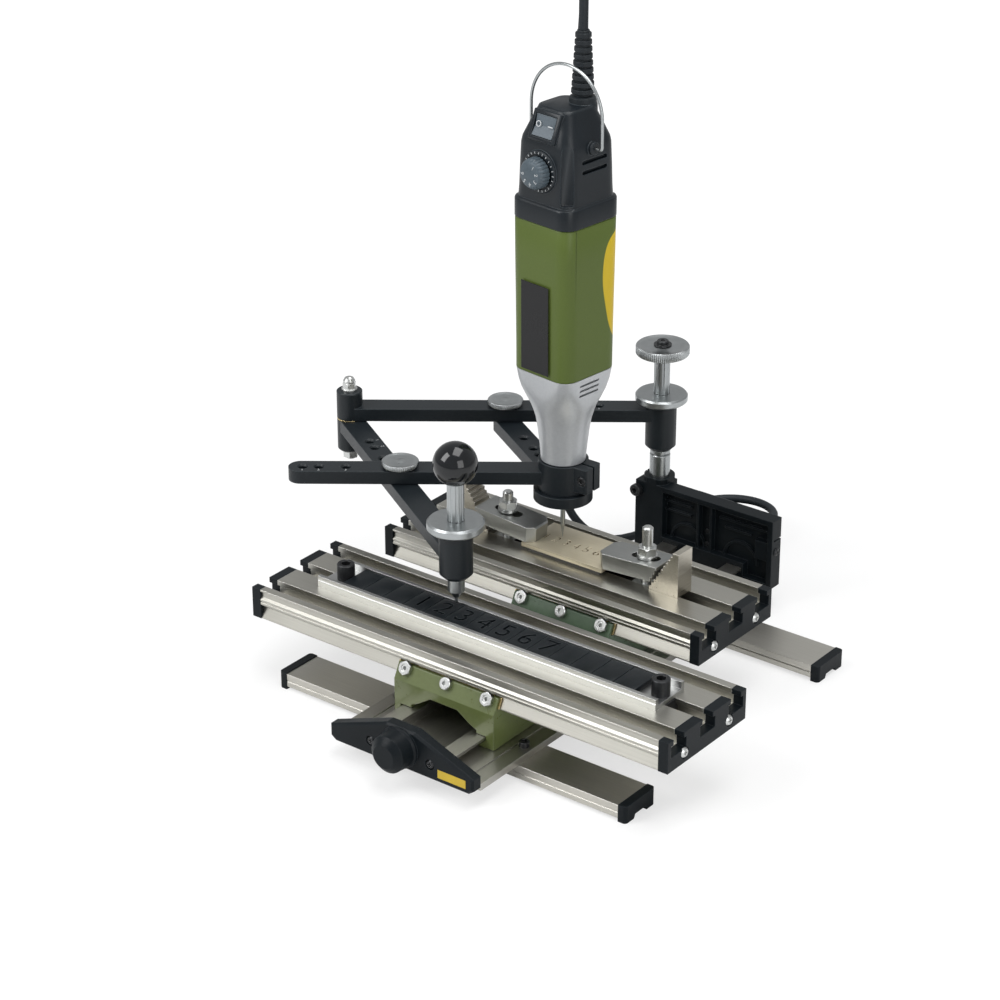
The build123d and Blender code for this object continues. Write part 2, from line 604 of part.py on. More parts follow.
def make_saddle(name, middle):
    """A cast saddle astride the guide rail, with jaws that hold a table's dovetail."""
    half = SADDLE_WIDTH / 2
    under = RAIL_TOP + SLIDE_GAP
    foot = RAIL_OUTER - RAIL_UNDERCUT + SLIDE_GAP * 1.5
    right = [(foot, FLANGE_TOP + SLIDE_GAP), (half, FLANGE_TOP + SLIDE_GAP), (half, SADDLE_TOP)]
    arch = [(ARCH_TOP / 2, under + ARCH_HEIGHT), (ARCH_MIDDLE / 2, under + ARCH_HEIGHT * 0.42),
            (ARCH_MIDDLE / 2 + 4.6, under + 1.8), (ARCH_MIDDLE / 2 + 4.8, under)]
    right_grip = RAIL_OUTER + SLIDE_GAP
    left_grip = right_grip + GIB_THICKNESS * 1.5
    left_foot = foot + GIB_THICKNESS * 1.5
    grip_low = RAIL_TOP - RAIL_EDGE - 0.2
    outline = arch + [(right_grip, under), (right_grip, grip_low)] + right
    outline += [(-half, SADDLE_TOP), (-half, FLANGE_TOP + SLIDE_GAP), (-left_foot, FLANGE_TOP + SLIDE_GAP),
                (-left_grip, grip_low), (-left_grip, under)]
    outline += [(-x, z) for x, z in arch[::-1]]
    front = middle - SADDLE_LENGTH / 2
    back = middle + SADDLE_LENGTH / 2
    saddle = along_y(outline, front, back)
    foot_z = TABLE_BOTTOM + 0.6
    top = SADDLE_TOP + 1
    play = SLIDE_GAP * SLANT
    gib = (SLIDE_GAP + GIB_THICKNESS) * SLANT
    channel = [(-table_half(foot_z) - gib, SADDLE_FLOOR), (table_half(foot_z) + play, SADDLE_FLOOR),
               (table_half(foot_z) + play, foot_z), (table_half(top) + play, top),
               (-table_half(top) - gib, top), (-table_half(foot_z) - gib, foot_z)]
    saddle -= along_x([(middle + y, z) for y, z in channel], -half - 1, half + 1)
    for end in (-1, 1):
        bevel = [(middle + end * jaw_face(SADDLE_TOP - JAW_HEIGHT), SADDLE_TOP - JAW_HEIGHT),
                 (middle + end * jaw_face(top), top), (middle + end * SADDLE_LENGTH, top),
                 (middle + end * SADDLE_LENGTH, SADDLE_TOP - JAW_HEIGHT)]
        saddle -= along_x(bevel, -half - 1, half + 1)
    for place in jaw_places(middle):
        saddle -= place * rod((0, 0), -GRUB_LENGTH - 2, 1, GRUB_RADIUS + THREAD_GAP)
    for place in side_places(middle):
        saddle -= place * rod((0, 0), -GRUB_LENGTH, 1, GRUB_RADIUS + THREAD_GAP)
    keep(name, saddle)
    keep(name + "_gibs", table_gib(middle), rail_gib(middle))
    keep(name + "_screws", *saddle_screws(middle))


def jaw_places(middle):
    """Where the three jaw screws stand on the saddle's sloping front face."""
    y = middle - jaw_face(GRUB_HEIGHT)
    return [aim((x, y, GRUB_HEIGHT), JAW_NORMAL) for x in (-GRUB_X, 0, GRUB_X)]


def side_places(middle):
    """Where the two screws for the rail's gib stand on the saddle's left side."""
    height = (FLANGE_TOP + RAIL_TOP) / 2
    return [aim((-SADDLE_WIDTH / 2, middle + y, height), (-1, 0, 0)) for y in (-SIDE_GRUB_Y, SIDE_GRUB_Y)]


def table_gib(middle):
    """The brass strip between the front jaw and the table's dovetail."""
    low = TABLE_BOTTOM + 0.6
    high = SADDLE_TOP - 0.1
    inner = SLIDE_GAP * SLANT
    outer = (SLIDE_GAP + GIB_THICKNESS - SEAT_GAP) * SLANT
    outline = [(middle - table_half(low) - outer, low), (middle - table_half(low) - inner, low),
               (middle - table_half(high) - inner, high), (middle - table_half(high) - outer, high)]
    return along_x(outline, -SADDLE_WIDTH / 2 - 1.0, SADDLE_WIDTH / 2 + 1.0)


def rail_gib(middle):
    """The brass strip between the saddle's left leg and the guide rail."""
    low = FLANGE_TOP + SLIDE_GAP
    high = RAIL_TOP - RAIL_EDGE - 0.4
    rise = (RAIL_TOP - RAIL_EDGE - FLANGE_TOP)
    near = RAIL_OUTER - RAIL_UNDERCUT + SLIDE_GAP * 1.5
    lean = RAIL_UNDERCUT / rise
    thick = GIB_THICKNESS * 1.4
    outline = [(-near - lean * SLIDE_GAP, low), (-near - thick, low),
               (-near - thick - lean * (high - low), high), (-near - lean * (high - FLANGE_TOP), high)]
    return along_y(outline, middle - SADDLE_LENGTH / 2 - 1.0, middle + SADDLE_LENGTH / 2 + 1.0)


def saddle_screws(middle):
    """The jaw's two gib screws with lock nuts, its clamping screw, and the side's two."""
    left, centre, right = jaw_places(middle)
    reach = (jaw_face(GRUB_HEIGHT) - table_half(GRUB_HEIGHT)) / SLANT - SLIDE_GAP - GIB_THICKNESS
    screws = []
    for place in (left, right):
        screws.append(place * hex_nut(NUT_ACROSS, NUT_HEIGHT, GRUB_RADIUS + THREAD_GAP))
        screws.append(place * Pos(0, 0, NUT_HEIGHT - 0.4)
                      * grub_screw(GRUB_RADIUS, NUT_HEIGHT - 0.4 + reach - SEAT_GAP, 2.0))
    screws.append(centre * socket_screw(GRUB_RADIUS, reach - SEAT_GAP, 3.4, 2.8, 2.5))
    for place in side_places(middle):
        screws.append(place * Pos(0, 0, -0.4) * grub_screw(GRUB_RADIUS, 3.4, 2.0))
    return screws


# ---- tables ----

def table_section():
    """The outline of a table in Y and Z about its middle, without its slots."""
    half = TABLE_WIDTH / 2
    neck = TABLE_BOTTOM + TABLE_DOVETAIL
    right = [(half, TABLE_TOP), (half, TABLE_TOP - 1.0), (half - 1.2, TABLE_TOP - 2.0),
             (half - 1.2, TABLE_TOP - 4.8), (half, TABLE_TOP - 5.8), (half, TABLE_TOP - 6.9),
             (half - 0.7, TABLE_TOP - 7.3), (half, TABLE_TOP - 7.8), (half, TABLE_TOP - 9.0),
             (half - 1.6, neck), (table_half(neck), neck),
             (table_half(TABLE_BOTTOM + 0.6), TABLE_BOTTOM + 0.6),
             (table_half(TABLE_BOTTOM + 0.6), TABLE_BOTTOM)]
    return right + [(-y, z) for y, z in reversed(right)]


def slot_cutter(middle, x0, x1):
    """The three T slots of a table, as one solid to cut away."""
    cutters = []
    for slot in SLOTS:
        y = middle + slot
        mouth = block(x0, x1, y - SLOT_MOUTH / 2, y + SLOT_MOUTH / 2,
                      TABLE_TOP - SLOT_LIP - 1, TABLE_TOP + 1)
        inner = block(x0, x1, y - SLOT_INNER / 2, y + SLOT_INNER / 2,
                      TABLE_TOP - SLOT_DEPTH, TABLE_TOP - SLOT_LIP)
        cutters.append(mouth + inner)
    return cutters


def make_table(name, x, middle, length):
    """An extruded table with three T slots, its two end caps and their screws."""
    left = x - length / 2
    right = x + length / 2
    table = along_x([(middle + y, z) for y, z in table_section()], left, right)
    for cutter in slot_cutter(middle, left - 1, right + 1):
        table -= cutter
    caps = []
    screws = []
    half = TABLE_WIDTH / 2
    for side, face in ((-1, left), (1, right)):
        far = face + side * TABLE_CAP
        cap = block(min(face, far), max(face, far), middle - half, middle + half, TABLE_BOTTOM, TABLE_TOP)
        for cutter in slot_cutter(middle, min(face, far) - 1, max(face, far) + 1):
            cap -= cutter
        for edge in (-1, 1):
            seat = (far - side * 1.0, middle + edge * CAP_SCREW_SPACING / 2, TABLE_TOP - CAP_SCREW_DROP)
            place = aim(seat, (side, 0, 0))
            hole = place * rod((0, 0), -16, 2, 1.5 + THREAD_GAP)
            table -= hole
            cap -= hole + place * rod((0, 0), 0, 3, 3.2)
            screws.append(place * cross_screw(1.5, 14.0, 2.9, 1.6))
        caps.append(cap)
    keep(name, table)
    keep(name + "_caps", *caps)
    keep(name + "_cap_screws", *screws)


def t_nut(x, middle, reach, bore):
    """A T nut in the middle slot, up to just under the table's top, with a threaded hole."""
    wide = SLOT_INNER / 2 - 0.3
    neck = SLOT_MOUTH / 2 - 0.2
    low = TABLE_TOP - SLOT_LIP - 4.4
    outline = [(-wide, low), (wide, low),
               (wide, TABLE_TOP - SLOT_LIP - 0.1), (neck, TABLE_TOP - SLOT_LIP - 0.1),
               (neck, TABLE_TOP - 0.2), (-neck, TABLE_TOP - 0.2), (-neck, TABLE_TOP - SLOT_LIP - 0.1),
               (-wide, TABLE_TOP - SLOT_LIP - 0.1)]
    nut = along_x([(middle + y, z) for y, z in outline], x - reach, x + reach)
    return nut - rod((x, middle), low - 1, TABLE_TOP + 1, bore)


# ---- template rail ----

def make_template():
    """The channel that holds the letter tiles, bolted in the front table's middle slot."""
    middle = FRONT_SADDLE_Y
    x = FRONT_TABLE_X + TEMPLATE_RAIL_OFFSET
    left = x - TEMPLATE_RAIL_LENGTH / 2
    right = x + TEMPLATE_RAIL_LENGTH / 2
    half = TEMPLATE_RAIL_WIDTH / 2
    top = TABLE_TOP + TEMPLATE_RAIL_HEIGHT
    inner = half - TEMPLATE_RAIL_WALL
    groove = TABLE_TOP + TEMPLATE_RAIL_HEIGHT * 0.6
    section = [(-half, TABLE_TOP), (half, TABLE_TOP), (half, groove - 0.35), (half - 0.4, groove),
               (half, groove + 0.35), (half, top), (inner, top), (inner, TEMPLATE_FLOOR_TOP),
               (-inner, TEMPLATE_FLOOR_TOP), (-inner, top), (-half, top), (-half, groove + 0.35),
               (-half + 0.4, groove), (-half, groove - 0.35)]
    rail = along_x([(middle + y, z) for y, z in section], left, right)
    bolts = []
    for end in (left + TEMPLATE_SCREW_INSET + 1.9, right - TEMPLATE_SCREW_INSET + 1.9):
        rail -= rod((end, middle), TABLE_TOP - 1, top, 2.5 + THREAD_GAP)
        bolts.append(Pos(end, middle, TEMPLATE_FLOOR_TOP) * socket_screw(2.5, 9.0, 4.9, 9.4, 5.0))
        bolts.append(t_nut(end, middle, 6.0, 2.5 + THREAD_GAP))
    tiles = []
    first = x - TILE_COUNT * TILE_LENGTH / 2 + TILE_LENGTH / 2
    for index in range(TILE_COUNT):
        centre = first + index * TILE_LENGTH
        tiles.append(block(centre - TILE_LENGTH / 2 + 0.1, centre + TILE_LENGTH / 2 - 0.1,
                           middle - inner + 0.1, middle + inner - 0.1,
                           TEMPLATE_FLOOR_TOP, TEMPLATE_FLOOR_TOP + TILE_THICKNESS))
    keep("template_rail", rail)
    keep("template_tiles", *tiles)
    keep("template_bolts", *bolts)


# ---- work piece and clamps ----

def make_work():
    """The brass work plate on its packing, which the two clamps hold down."""
    left = WORK_X - WORK_LENGTH / 2
    right = WORK_X + WORK_LENGTH / 2
    front = WORK_Y - WORK_WIDTH / 2
    back = WORK_Y + WORK_WIDTH / 2
    keep("packing_plate", block(left + 4, right - 2, front + 0.8, back - 0.8, TABLE_TOP, WORK_BOTTOM))
    keep("work_plate", block(left, right, front, back, WORK_BOTTOM, WORK_TOP))


def step_line(x, z, count):
    """The corners of a stair that rises from a point, one tread and riser at a time."""
    corners = [(x, z)]
    for step in range(count):
        corners.append((x + step * STEP_RUN, z + (step + 1) * STEP_RISE))
        corners.append((x + (step + 1) * STEP_RUN, z + (step + 1) * STEP_RISE))
    return corners


def make_clamp(side, nose, stud_x, stud_top):
    """One clamp: a slotted bar, the step block behind it, and its stud, washer and nuts."""
    middle = REAR_SADDLE_Y
    half = CLAMP_WIDTH / 2
    lift = radians(CLAMP_TILT)
    steps = int(CLAMP_THICKNESS / STEP_RISE)
    outline = [(0, 0)] + step_line(CLAMP_LENGTH - steps * STEP_RUN, 0, steps) + [
        (CLAMP_LENGTH, CLAMP_THICKNESS), (0.8, CLAMP_THICKNESS), (0, CLAMP_THICKNESS - 0.8)]
    bar_shape = along_y(outline, -half, half)
    for edge in (-1, 1):
        corner = [(-1, edge * CLAMP_NOSE / 2), (-1, edge * (half + 1)),
                  (half - CLAMP_NOSE / 2 + 1, edge * (half + 1)),
                  (half - CLAMP_NOSE / 2, edge * half), (0, edge * CLAMP_NOSE / 2)]
        bevel = extrude(Polygon(*corner, align=None), CLAMP_THICKNESS + 2, dir=(0, 0, 1))
        bar_shape -= Pos(0, 0, -1) * bevel
    reach = abs(stud_x - nose)
    slot = SlotOverall(CLAMP_SLOT_LENGTH, 2 * STUD_RADIUS + 0.8)
    bar_shape -= Pos(reach, 0, -1) * extrude(slot, CLAMP_THICKNESS + 2, dir=(0, 0, 1))
    tilted = Rot(0, -CLAMP_TILT, 0) * bar_shape
    behind = CLAMP_LENGTH * cos(lift) - steps * STEP_RUN + 0.5
    tread = int((WORK_TOP + CLAMP_LENGTH * sin(lift) - TABLE_TOP) / STEP_RISE)
    base = behind - tread * STEP_RUN
    stair = step_line(base, 0, STEP_COUNT)
    far = stair[-1][0] + STEP_BLOCK_LAND
    stair += [(far, stair[-1][1]), (far, 0)]
    block_shape = along_y(stair, -STEP_BLOCK_WIDTH / 2, STEP_BLOCK_WIDTH / 2)
    turn = Rot(0, 0, 0) if side > 0 else Rot(0, 0, 180)
    clamp_bar = Pos(nose, middle, WORK_TOP + SEAT_GAP) * turn * tilted
    step_block = Pos(nose, middle, TABLE_TOP) * turn * block_shape
    seat = WORK_TOP + SEAT_GAP + CLAMP_THICKNESS / cos(lift) + (reach + 5.6) * tan(lift) + 0.05
    stud = rod((stud_x, middle), TABLE_TOP - SLOT_LIP - 4.0, stud_top, STUD_RADIUS)
    stud = chamfer(stud.edges().sort_by(Axis.Z)[-1], 0.9)
    washer = tube((stud_x, middle), seat, seat + 1.4, 5.6, STUD_RADIUS + THREAD_GAP)
    nut = Pos(stud_x, middle, seat + 1.4) * hex_nut(9.6, 4.8, STUD_RADIUS + THREAD_GAP)
    return clamp_bar, step_block, [stud, washer, nut, t_nut(stud_x, middle, 7.0, STUD_RADIUS + THREAD_GAP)]


def make_clamps():
    """The two clamps of the rear table, left and right of the work plate."""
    left = make_clamp(-1, LEFT_NOSE_X, LEFT_STUD_X, LEFT_STUD_TOP)
    right = make_clamp(1, RIGHT_NOSE_X, RIGHT_STUD_X, RIGHT_STUD_TOP)
    keep("clamp_bars", left[0], right[0])
    keep("step_blocks", left[1], right[1])
    keep("clamp_bolts", *left[2], *right[2])


# ---- column and fulcrum ----

COLLAR_RADIUS = 5.9


def make_fulcrum():
    """The column, and the screw spindle on it that carries and lifts the arms."""
    column = rod(FULCRUM, COLUMN_BOTTOM, COLUMN_TOP, COLUMN_RADIUS)
    column = chamfer(column.edges().sort_by(Axis.Z)[-1], 0.6)
    column -= rod(FULCRUM, SPINDLE_BOTTOM - 1, COLUMN_TOP + 1, SPINDLE_RADIUS + RUN_GAP)
    keep("column", column)
    spindle = Pos(*FULCRUM, 0) * (rod((0, 0), SPINDLE_BOTTOM, DISC_BOTTOM, SPINDLE_RADIUS)
                                  + fluted(SPINDLE_RADIUS, DISC_BOTTOM, SPINDLE_TOP))
    keep("fulcrum_spindle", spindle - rod(FULCRUM, SPINDLE_TOP - 9, SPINDLE_TOP + 1, 2.0 + THREAD_GAP))
    top = SPINDLE_TOP + WHEEL_THICKNESS
    wheel = tube(FULCRUM, SPINDLE_TOP, top, WHEEL_RADIUS, 2.0 + THREAD_GAP)
    wheel = chamfer(wheel.edges().filter_by(GeomType.CIRCLE).sort_by(SortBy.RADIUS)[-2:], 0.6)
    keep("fulcrum_wheel", wheel)
    washer = tube(FULCRUM, top, top + 0.6, 5.2, 2.0 + THREAD_GAP)
    screw = Pos(*FULCRUM, top + 0.6) * socket_screw(2.0, WHEEL_THICKNESS + 8.0, 3.4, 2.2, 2.5)
    keep("fulcrum_wheel_screw", screw, washer)
    disc = tube(FULCRUM, DISC_BOTTOM, DISC_BOTTOM + DISC_THICKNESS, DISC_RADIUS, SPINDLE_RADIUS + RUN_GAP)
    disc = fillet(disc.edges().filter_by(GeomType.CIRCLE).sort_by(SortBy.RADIUS)[-2:], 0.8)
    collar = tube(FULCRUM, COLUMN_TOP + 0.4, FULCRUM_BOSS_BOTTOM - TURN_GAP,
                  COLLAR_RADIUS, SPINDLE_RADIUS + RUN_GAP)
    keep("fulcrum_discs", disc, collar)


def boss(point, bottom, top, radius, bevel):
    """A pivot boss with a bevelled lower rim."""
    shape = turned([(0, bottom), (radius - bevel, bottom), (radius, bottom + bevel),
                    (radius, top - 0.5), (radius - 0.5, top), (0, top)])
    return Pos(*point, 0) * shape


def make_main_arm():
    """The upper arm from the fulcrum to the elbow, with the elbow's bolt."""
    arm = bar(FULCRUM, ELBOW, UPPER_BOTTOM, ARM_TOP, ARM_WIDTH)
    arm += boss(FULCRUM, FULCRUM_BOSS_BOTTOM, BOSS_TOP, FULCRUM_BOSS, 2.4)
    arm += boss(ELBOW, UPPER_BOTTOM, ELBOW_TOP, ELBOW_RADIUS, 0.3)
    arm -= rod(FULCRUM, FULCRUM_BOSS_BOTTOM - 1, BOSS_TOP + 1, SPINDLE_RADIUS + RUN_GAP)
    arm -= rod(ELBOW, UPPER_BOTTOM - 1, ELBOW_TOP + 1, PIVOT_RADIUS + SEAT_GAP)
    arm -= rod(MAIN_PIN, UPPER_BOTTOM - 1, ARM_TOP + 1, PIVOT_RADIUS + RUN_GAP)
    for hole in scale_holes(FULCRUM, MAIN_ARM_ANGLE, ARM_TOP, UPPER_BOTTOM, SCALE_STEPS):
        arm -= hole
    keep("main_arm", arm)
    low = ELBOW_BOTTOM - TURN_GAP
    shank = rod((0, 0), low - 5.2, ELBOW_TOP + 1.2, PIVOT_RADIUS)
    head = turned([(0, ELBOW_TOP), (4.6, ELBOW_TOP), (4.6, ELBOW_TOP + 1.2), (0, ELBOW_TOP + 1.2)])
    dome = hexagon(7.0, ELBOW_TOP + 1.2, ELBOW_TOP + 4.6) + turned(
        [(0, ELBOW_TOP + 1.2), (3.5, ELBOW_TOP + 1.2), (3.5, ELBOW_TOP + 6.0), (2.6, ELBOW_TOP + 7.6),
         (1.2, ELBOW_TOP + 8.3), (0, ELBOW_TOP + 8.3)])
    washer = turned([(0, low - 0.8), (4.6, low - 0.8), (4.6, low), (0, low)])
    nut = hexagon(8.0, low - 4.4, low - 0.8) + washer
    keep("pivot_bolt", Pos(*ELBOW, 0) * (shank + head + dome + nut))
    keep("pivot_spacer", tube(ELBOW, UPPER_BOTTOM - SPACER_THICKNESS, UPPER_BOTTOM,
                              ELBOW_RADIUS, PIVOT_RADIUS + SEAT_GAP))


def thumb_screw(point, head_bottom, low):
    """A knurled thumb screw that serves as an arm's pivot pin."""
    head = turned([(0, head_bottom), (THUMB_RADIUS - 0.4, head_bottom), (THUMB_RADIUS, head_bottom + 0.4),
                   (THUMB_RADIUS, head_bottom + THUMB_THICKNESS - 0.4),
                   (THUMB_RADIUS - 0.4, head_bottom + THUMB_THICKNESS), (0, head_bottom + THUMB_THICKNESS)])
    neck = rod((0, 0), head_bottom - 0.9, head_bottom, 5.0)
    return Pos(*point, 0) * (head + neck + rod((0, 0), low, head_bottom, PIVOT_RADIUS))


def make_thumb_screws():
    """The two thumb screws on which the main arm and the link arm turn."""
    head = ARM_TOP + TURN_GAP + 0.9
    keep("main_thumbscrew", thumb_screw(MAIN_PIN, head, LOWER_BOTTOM - 1.5))
    keep("link_thumbscrew", thumb_screw(LINK_PIN, head, LOWER_BOTTOM - 1.5))


def make_tracer_arm():
    """The lower arm from the elbow to the tracer."""
    arm = bar(ELBOW, TRACER, LOWER_BOTTOM, LOWER_TOP, ARM_WIDTH)
    arm += boss(ELBOW, ELBOW_BOTTOM, LOWER_TOP, ELBOW_RADIUS, 1.2)
    arm -= rod(ELBOW, UPPER_BOTTOM - SPACER_THICKNESS - TURN_GAP, LOWER_TOP + 1, ELBOW_RADIUS + 0.5)
    arm += boss(TRACER, TRACER_BOSS_BOTTOM, BOSS_TOP, TRACER_BOSS, 2.6)
    arm -= rod(ELBOW, ELBOW_BOTTOM - 1, LOWER_TOP + 1, PIVOT_RADIUS + RUN_GAP)
    arm -= rod(TRACER, TRACER_BOSS_BOTTOM - 1, BOSS_TOP + 1, SPINDLE_RADIUS + RUN_GAP)
    arm -= rod(LINK_PIN, LOWER_BOTTOM - 1, LOWER_TOP + 1, PIVOT_RADIUS + RUN_GAP)
    for hole in scale_holes(ELBOW, TRACER_ARM_ANGLE, LOWER_TOP, LOWER_BOTTOM, SCALE_STEPS):
        arm -= hole
    keep("tracer_arm", arm)


def make_tracer():
    """The tracer: a ball handle, a fluted shaft with its stop disc, and the stylus."""
    low = TRACER_FOOT
    shaft = Pos(*TRACER, 0) * (rod((0, 0), low, DISC_BOTTOM, SPINDLE_RADIUS)
                               + fluted(SPINDLE_RADIUS, DISC_BOTTOM, BALL_CENTRE - BALL_RADIUS + 1.2))
    shaft += Pos(*TRACER, 0) * turned([(0, STYLUS_CONE_BOTTOM), (STYLUS_RADIUS + 0.8, STYLUS_CONE_BOTTOM),
                                       (SPINDLE_RADIUS - 0.8, low), (0, low)])
    shaft += rod(TRACER, BALL_CENTRE - BALL_RADIUS, BALL_CENTRE - 3, 2.5)
    shaft -= rod(TRACER, STYLUS_CONE_BOTTOM - 1, low + 4, STYLUS_RADIUS + THREAD_GAP)
    keep("tracer_spindle", shaft)
    ball = Pos(*TRACER, BALL_CENTRE) * Sphere(BALL_RADIUS)
    flat = BALL_CENTRE - BALL_RADIUS + 1.2
    ball -= rod(TRACER, flat - 5, flat + SEAT_GAP, BALL_RADIUS)
    ball -= rod(TRACER, flat - 5, BALL_CENTRE - 3 + SEAT_GAP, 2.5 + THREAD_GAP)
    keep("tracer_ball", ball)
    disc = tube(TRACER, DISC_BOTTOM, DISC_BOTTOM + TRACER_DISC_THICKNESS, TRACER_DISC_RADIUS,
                SPINDLE_RADIUS + SEAT_GAP)
    disc = fillet(disc.edges().filter_by(GeomType.CIRCLE).sort_by(SortBy.RADIUS)[-2:], 0.8)
    keep("tracer_disc", disc)
    pin = turned([(0, STYLUS_TIP), (0.35, STYLUS_TIP), (STYLUS_RADIUS, STYLUS_TIP + 1.2),
                  (STYLUS_RADIUS, low + 3.9), (0, low + 3.9)])
    keep("stylus_pin", Pos(*TRACER, 0) * pin)


# ---- tool arm, link arm and tool holder ----

def make_tool_arm():
    """The lower arm from the main arm to the tool, its eye set under the tool holder."""
    inner = SPIGOT_RADIUS + TURN_GAP + 0.05
    reach = hypot(TOOL[0] - MAIN_PIN[0], TOOL[1] - MAIN_PIN[1])
    web_start = beyond(TOOL, EYE_RADIUS + 12.0, TRACER_ARM_ANGLE + 180)
    arm = bar(MAIN_PIN, TOOL, LOWER_BOTTOM, LOWER_TOP, ARM_WIDTH)
    arm -= rod(TOOL, LOWER_BOTTOM - 1, LOWER_TOP + 1, HUB_RADIUS + TURN_GAP + 0.3)
    arm += bar(web_start, TOOL, EYE_BOTTOM, LOWER_BOTTOM, ARM_WIDTH)
    arm += rod(TOOL, EYE_BOTTOM, EYE_TOP, EYE_RADIUS)
    arm -= rod(TOOL, EYE_BOTTOM - 1, EYE_TOP + 1, inner)
    arm -= rod(MAIN_PIN, LOWER_BOTTOM - 1, LOWER_TOP + 1, PIVOT_RADIUS + RUN_GAP)
    steps = [reach - distance for distance in SCALE_STEPS]
    for hole in scale_holes(MAIN_PIN, TRACER_ARM_ANGLE, LOWER_TOP, LOWER_BOTTOM, steps):
        arm -= hole
    keep("tool_arm", arm)


def make_link_arm():
    """The upper arm with the split hub that clamps the motor tool's neck."""
    far = beyond(TOOL, LINK_ARM_REACH - ARM_WIDTH / 2, MAIN_ARM_ANGLE)
    arm = bar(TOOL, far, UPPER_BOTTOM, ARM_TOP, ARM_WIDTH)
    hub_bottom = EYE_TOP + TURN_GAP
    arm += rod(TOOL, hub_bottom, HUB_TOP, HUB_RADIUS)
    arm += rod(TOOL, EYE_BOTTOM - TURN_GAP - RING_THICKNESS - 0.4, hub_bottom, SPIGOT_RADIUS)
    ring_top = EYE_BOTTOM - TURN_GAP
    ring_bottom = ring_top - RING_THICKNESS
    groove = SPIGOT_RADIUS - 0.7
    arm -= tube(TOOL, ring_bottom - SEAT_GAP, ring_top + SEAT_GAP, SPIGOT_RADIUS + 1, groove)
    ring = tube(TOOL, ring_bottom, ring_top, RING_RADIUS, groove + SEAT_GAP)
    split = block(groove - 1, RING_RADIUS + 1, -1.6, 1.6, ring_bottom - 1, ring_top + 1)
    keep("pivot_ring", ring - Pos(*TOOL, 0) * Rot(0, 0, -60) * split)
    ear = block(0, EAR_REACH, -EAR_WIDTH / 2, EAR_WIDTH / 2, EAR_BOTTOM, HUB_TOP)
    ear = fillet(ear.edges().filter_by(Axis.Z).group_by(Axis.X)[-1], 1.5)
    arm += Pos(*TOOL, 0) * ear
    arm -= rod(TOOL, EYE_BOTTOM - 4, HUB_TOP + 1, NECK_RADIUS + SEAT_GAP)
    arm -= Pos(*TOOL, 0) * block(NECK_RADIUS - 1, EAR_REACH + 1, -EAR_SLIT / 2, EAR_SLIT / 2,
                                 EAR_BOTTOM - 0.1, HUB_TOP + 1)
    height = (EAR_BOTTOM + HUB_TOP) / 2
    seat = (TOOL[0] + HUB_RADIUS + 3.3, TOOL[1] - EAR_WIDTH / 2 + 2.0, height)
    place = aim(seat, (0, -1, 0))
    arm -= place * (rod((0, 0), -EAR_WIDTH + 3.4, 3, 1.5 + THREAD_GAP) + rod((0, 0), 0, 3, 2.9))
    arm -= rod(LINK_PIN, UPPER_BOTTOM - 1, ARM_TOP + 1, PIVOT_RADIUS + RUN_GAP)
    steps = [ARM_REACH - distance for distance in SCALE_STEPS]
    for hole in scale_holes(TOOL, MAIN_ARM_ANGLE, ARM_TOP, UPPER_BOTTOM, steps):
        arm -= hole
    keep("link_arm", arm)
    keep("tool_clamp_screw", place * socket_screw(1.5, EAR_WIDTH - 4.0, 2.7, 2.2, 2.5))


# ---- motor tool ----

NOSE_STEPS = ((119.0, NOSE_WAIST), (141.0, NOSE_SHOULDER))
SHOULDER_BOTTOM = 151.6


def make_tool_nose():
    """The grey front housing: neck, flared cone and square shoulder, with the front bearing."""
    nose = rod((0, 0), NECK_BOTTOM, HUB_TOP, NECK_RADIUS)
    low = HUB_TOP
    radius = NOSE_RADIUS
    for high, wide in NOSE_STEPS:
        nose += turned([(0, low), (radius, low), (wide, high), (0, high)])
        low, radius = high, wide
    cone = loft([Plane.XY.offset(low) * Circle(radius),
                 soft_square(BODY_HALF - 0.9, BODY_CORNER, SHOULDER_BOTTOM)], ruled=True)
    skirt = loft([soft_square(BODY_HALF - 0.9, BODY_CORNER, SHOULDER_BOTTOM),
                  soft_square(BODY_HALF, BODY_CORNER, BODY_BOTTOM)], ruled=True)
    nose += cone
    nose += skirt
    nose -= rod((0, 0), NECK_BOTTOM - 1, BODY_BOTTOM + 1, SPINDLE_SHAFT + TURN_GAP + 0.2)
    nose -= rod((0, 0), NECK_BOTTOM - 1, NECK_BOTTOM + BEARING_WIDTH + 1.0, BEARING_RADIUS + SEAT_GAP)
    nose -= rod((0, 0), SHOULDER_BOTTOM - 4, BODY_BOTTOM + 1, BODY_HALF - BODY_CORNER)
    keep("tool_nose", upright(nose))


def make_tool_body():
    """The green handle housing, a tube of rounded square section."""
    body = loft([soft_square(BODY_HALF, BODY_CORNER, BODY_BOTTOM),
                 soft_square(BODY_TOP_HALF, BODY_CORNER, BODY_TOP)], ruled=True)
    body -= loft([soft_square(BODY_HALF - TOOL_WALL, BODY_CORNER - TOOL_WALL, BODY_BOTTOM - 1),
                  soft_square(BODY_TOP_HALF - TOOL_WALL, BODY_CORNER - TOOL_WALL, BODY_TOP + 1)],
                 ruled=True)
    keep("tool_body", upright(body))


def facet_place(offset=0.0):
    """The placing of the switch on the cap's sloping front facet."""
    rise = CAP_TOP - CAP_SHOULDER
    run = CAP_SHOULDER_HALF - CAP_TOP_HALF
    size = hypot(rise, run)
    normal = (0, -rise / size, run / size)
    middle = (0, -(CAP_SHOULDER_HALF + CAP_TOP_HALF) / 2, (CAP_TOP + CAP_SHOULDER) / 2)
    point = tuple(m + offset * n for m, n in zip(middle, normal))
    return Plane(origin=point, x_dir=(1, 0, 0), z_dir=normal).location


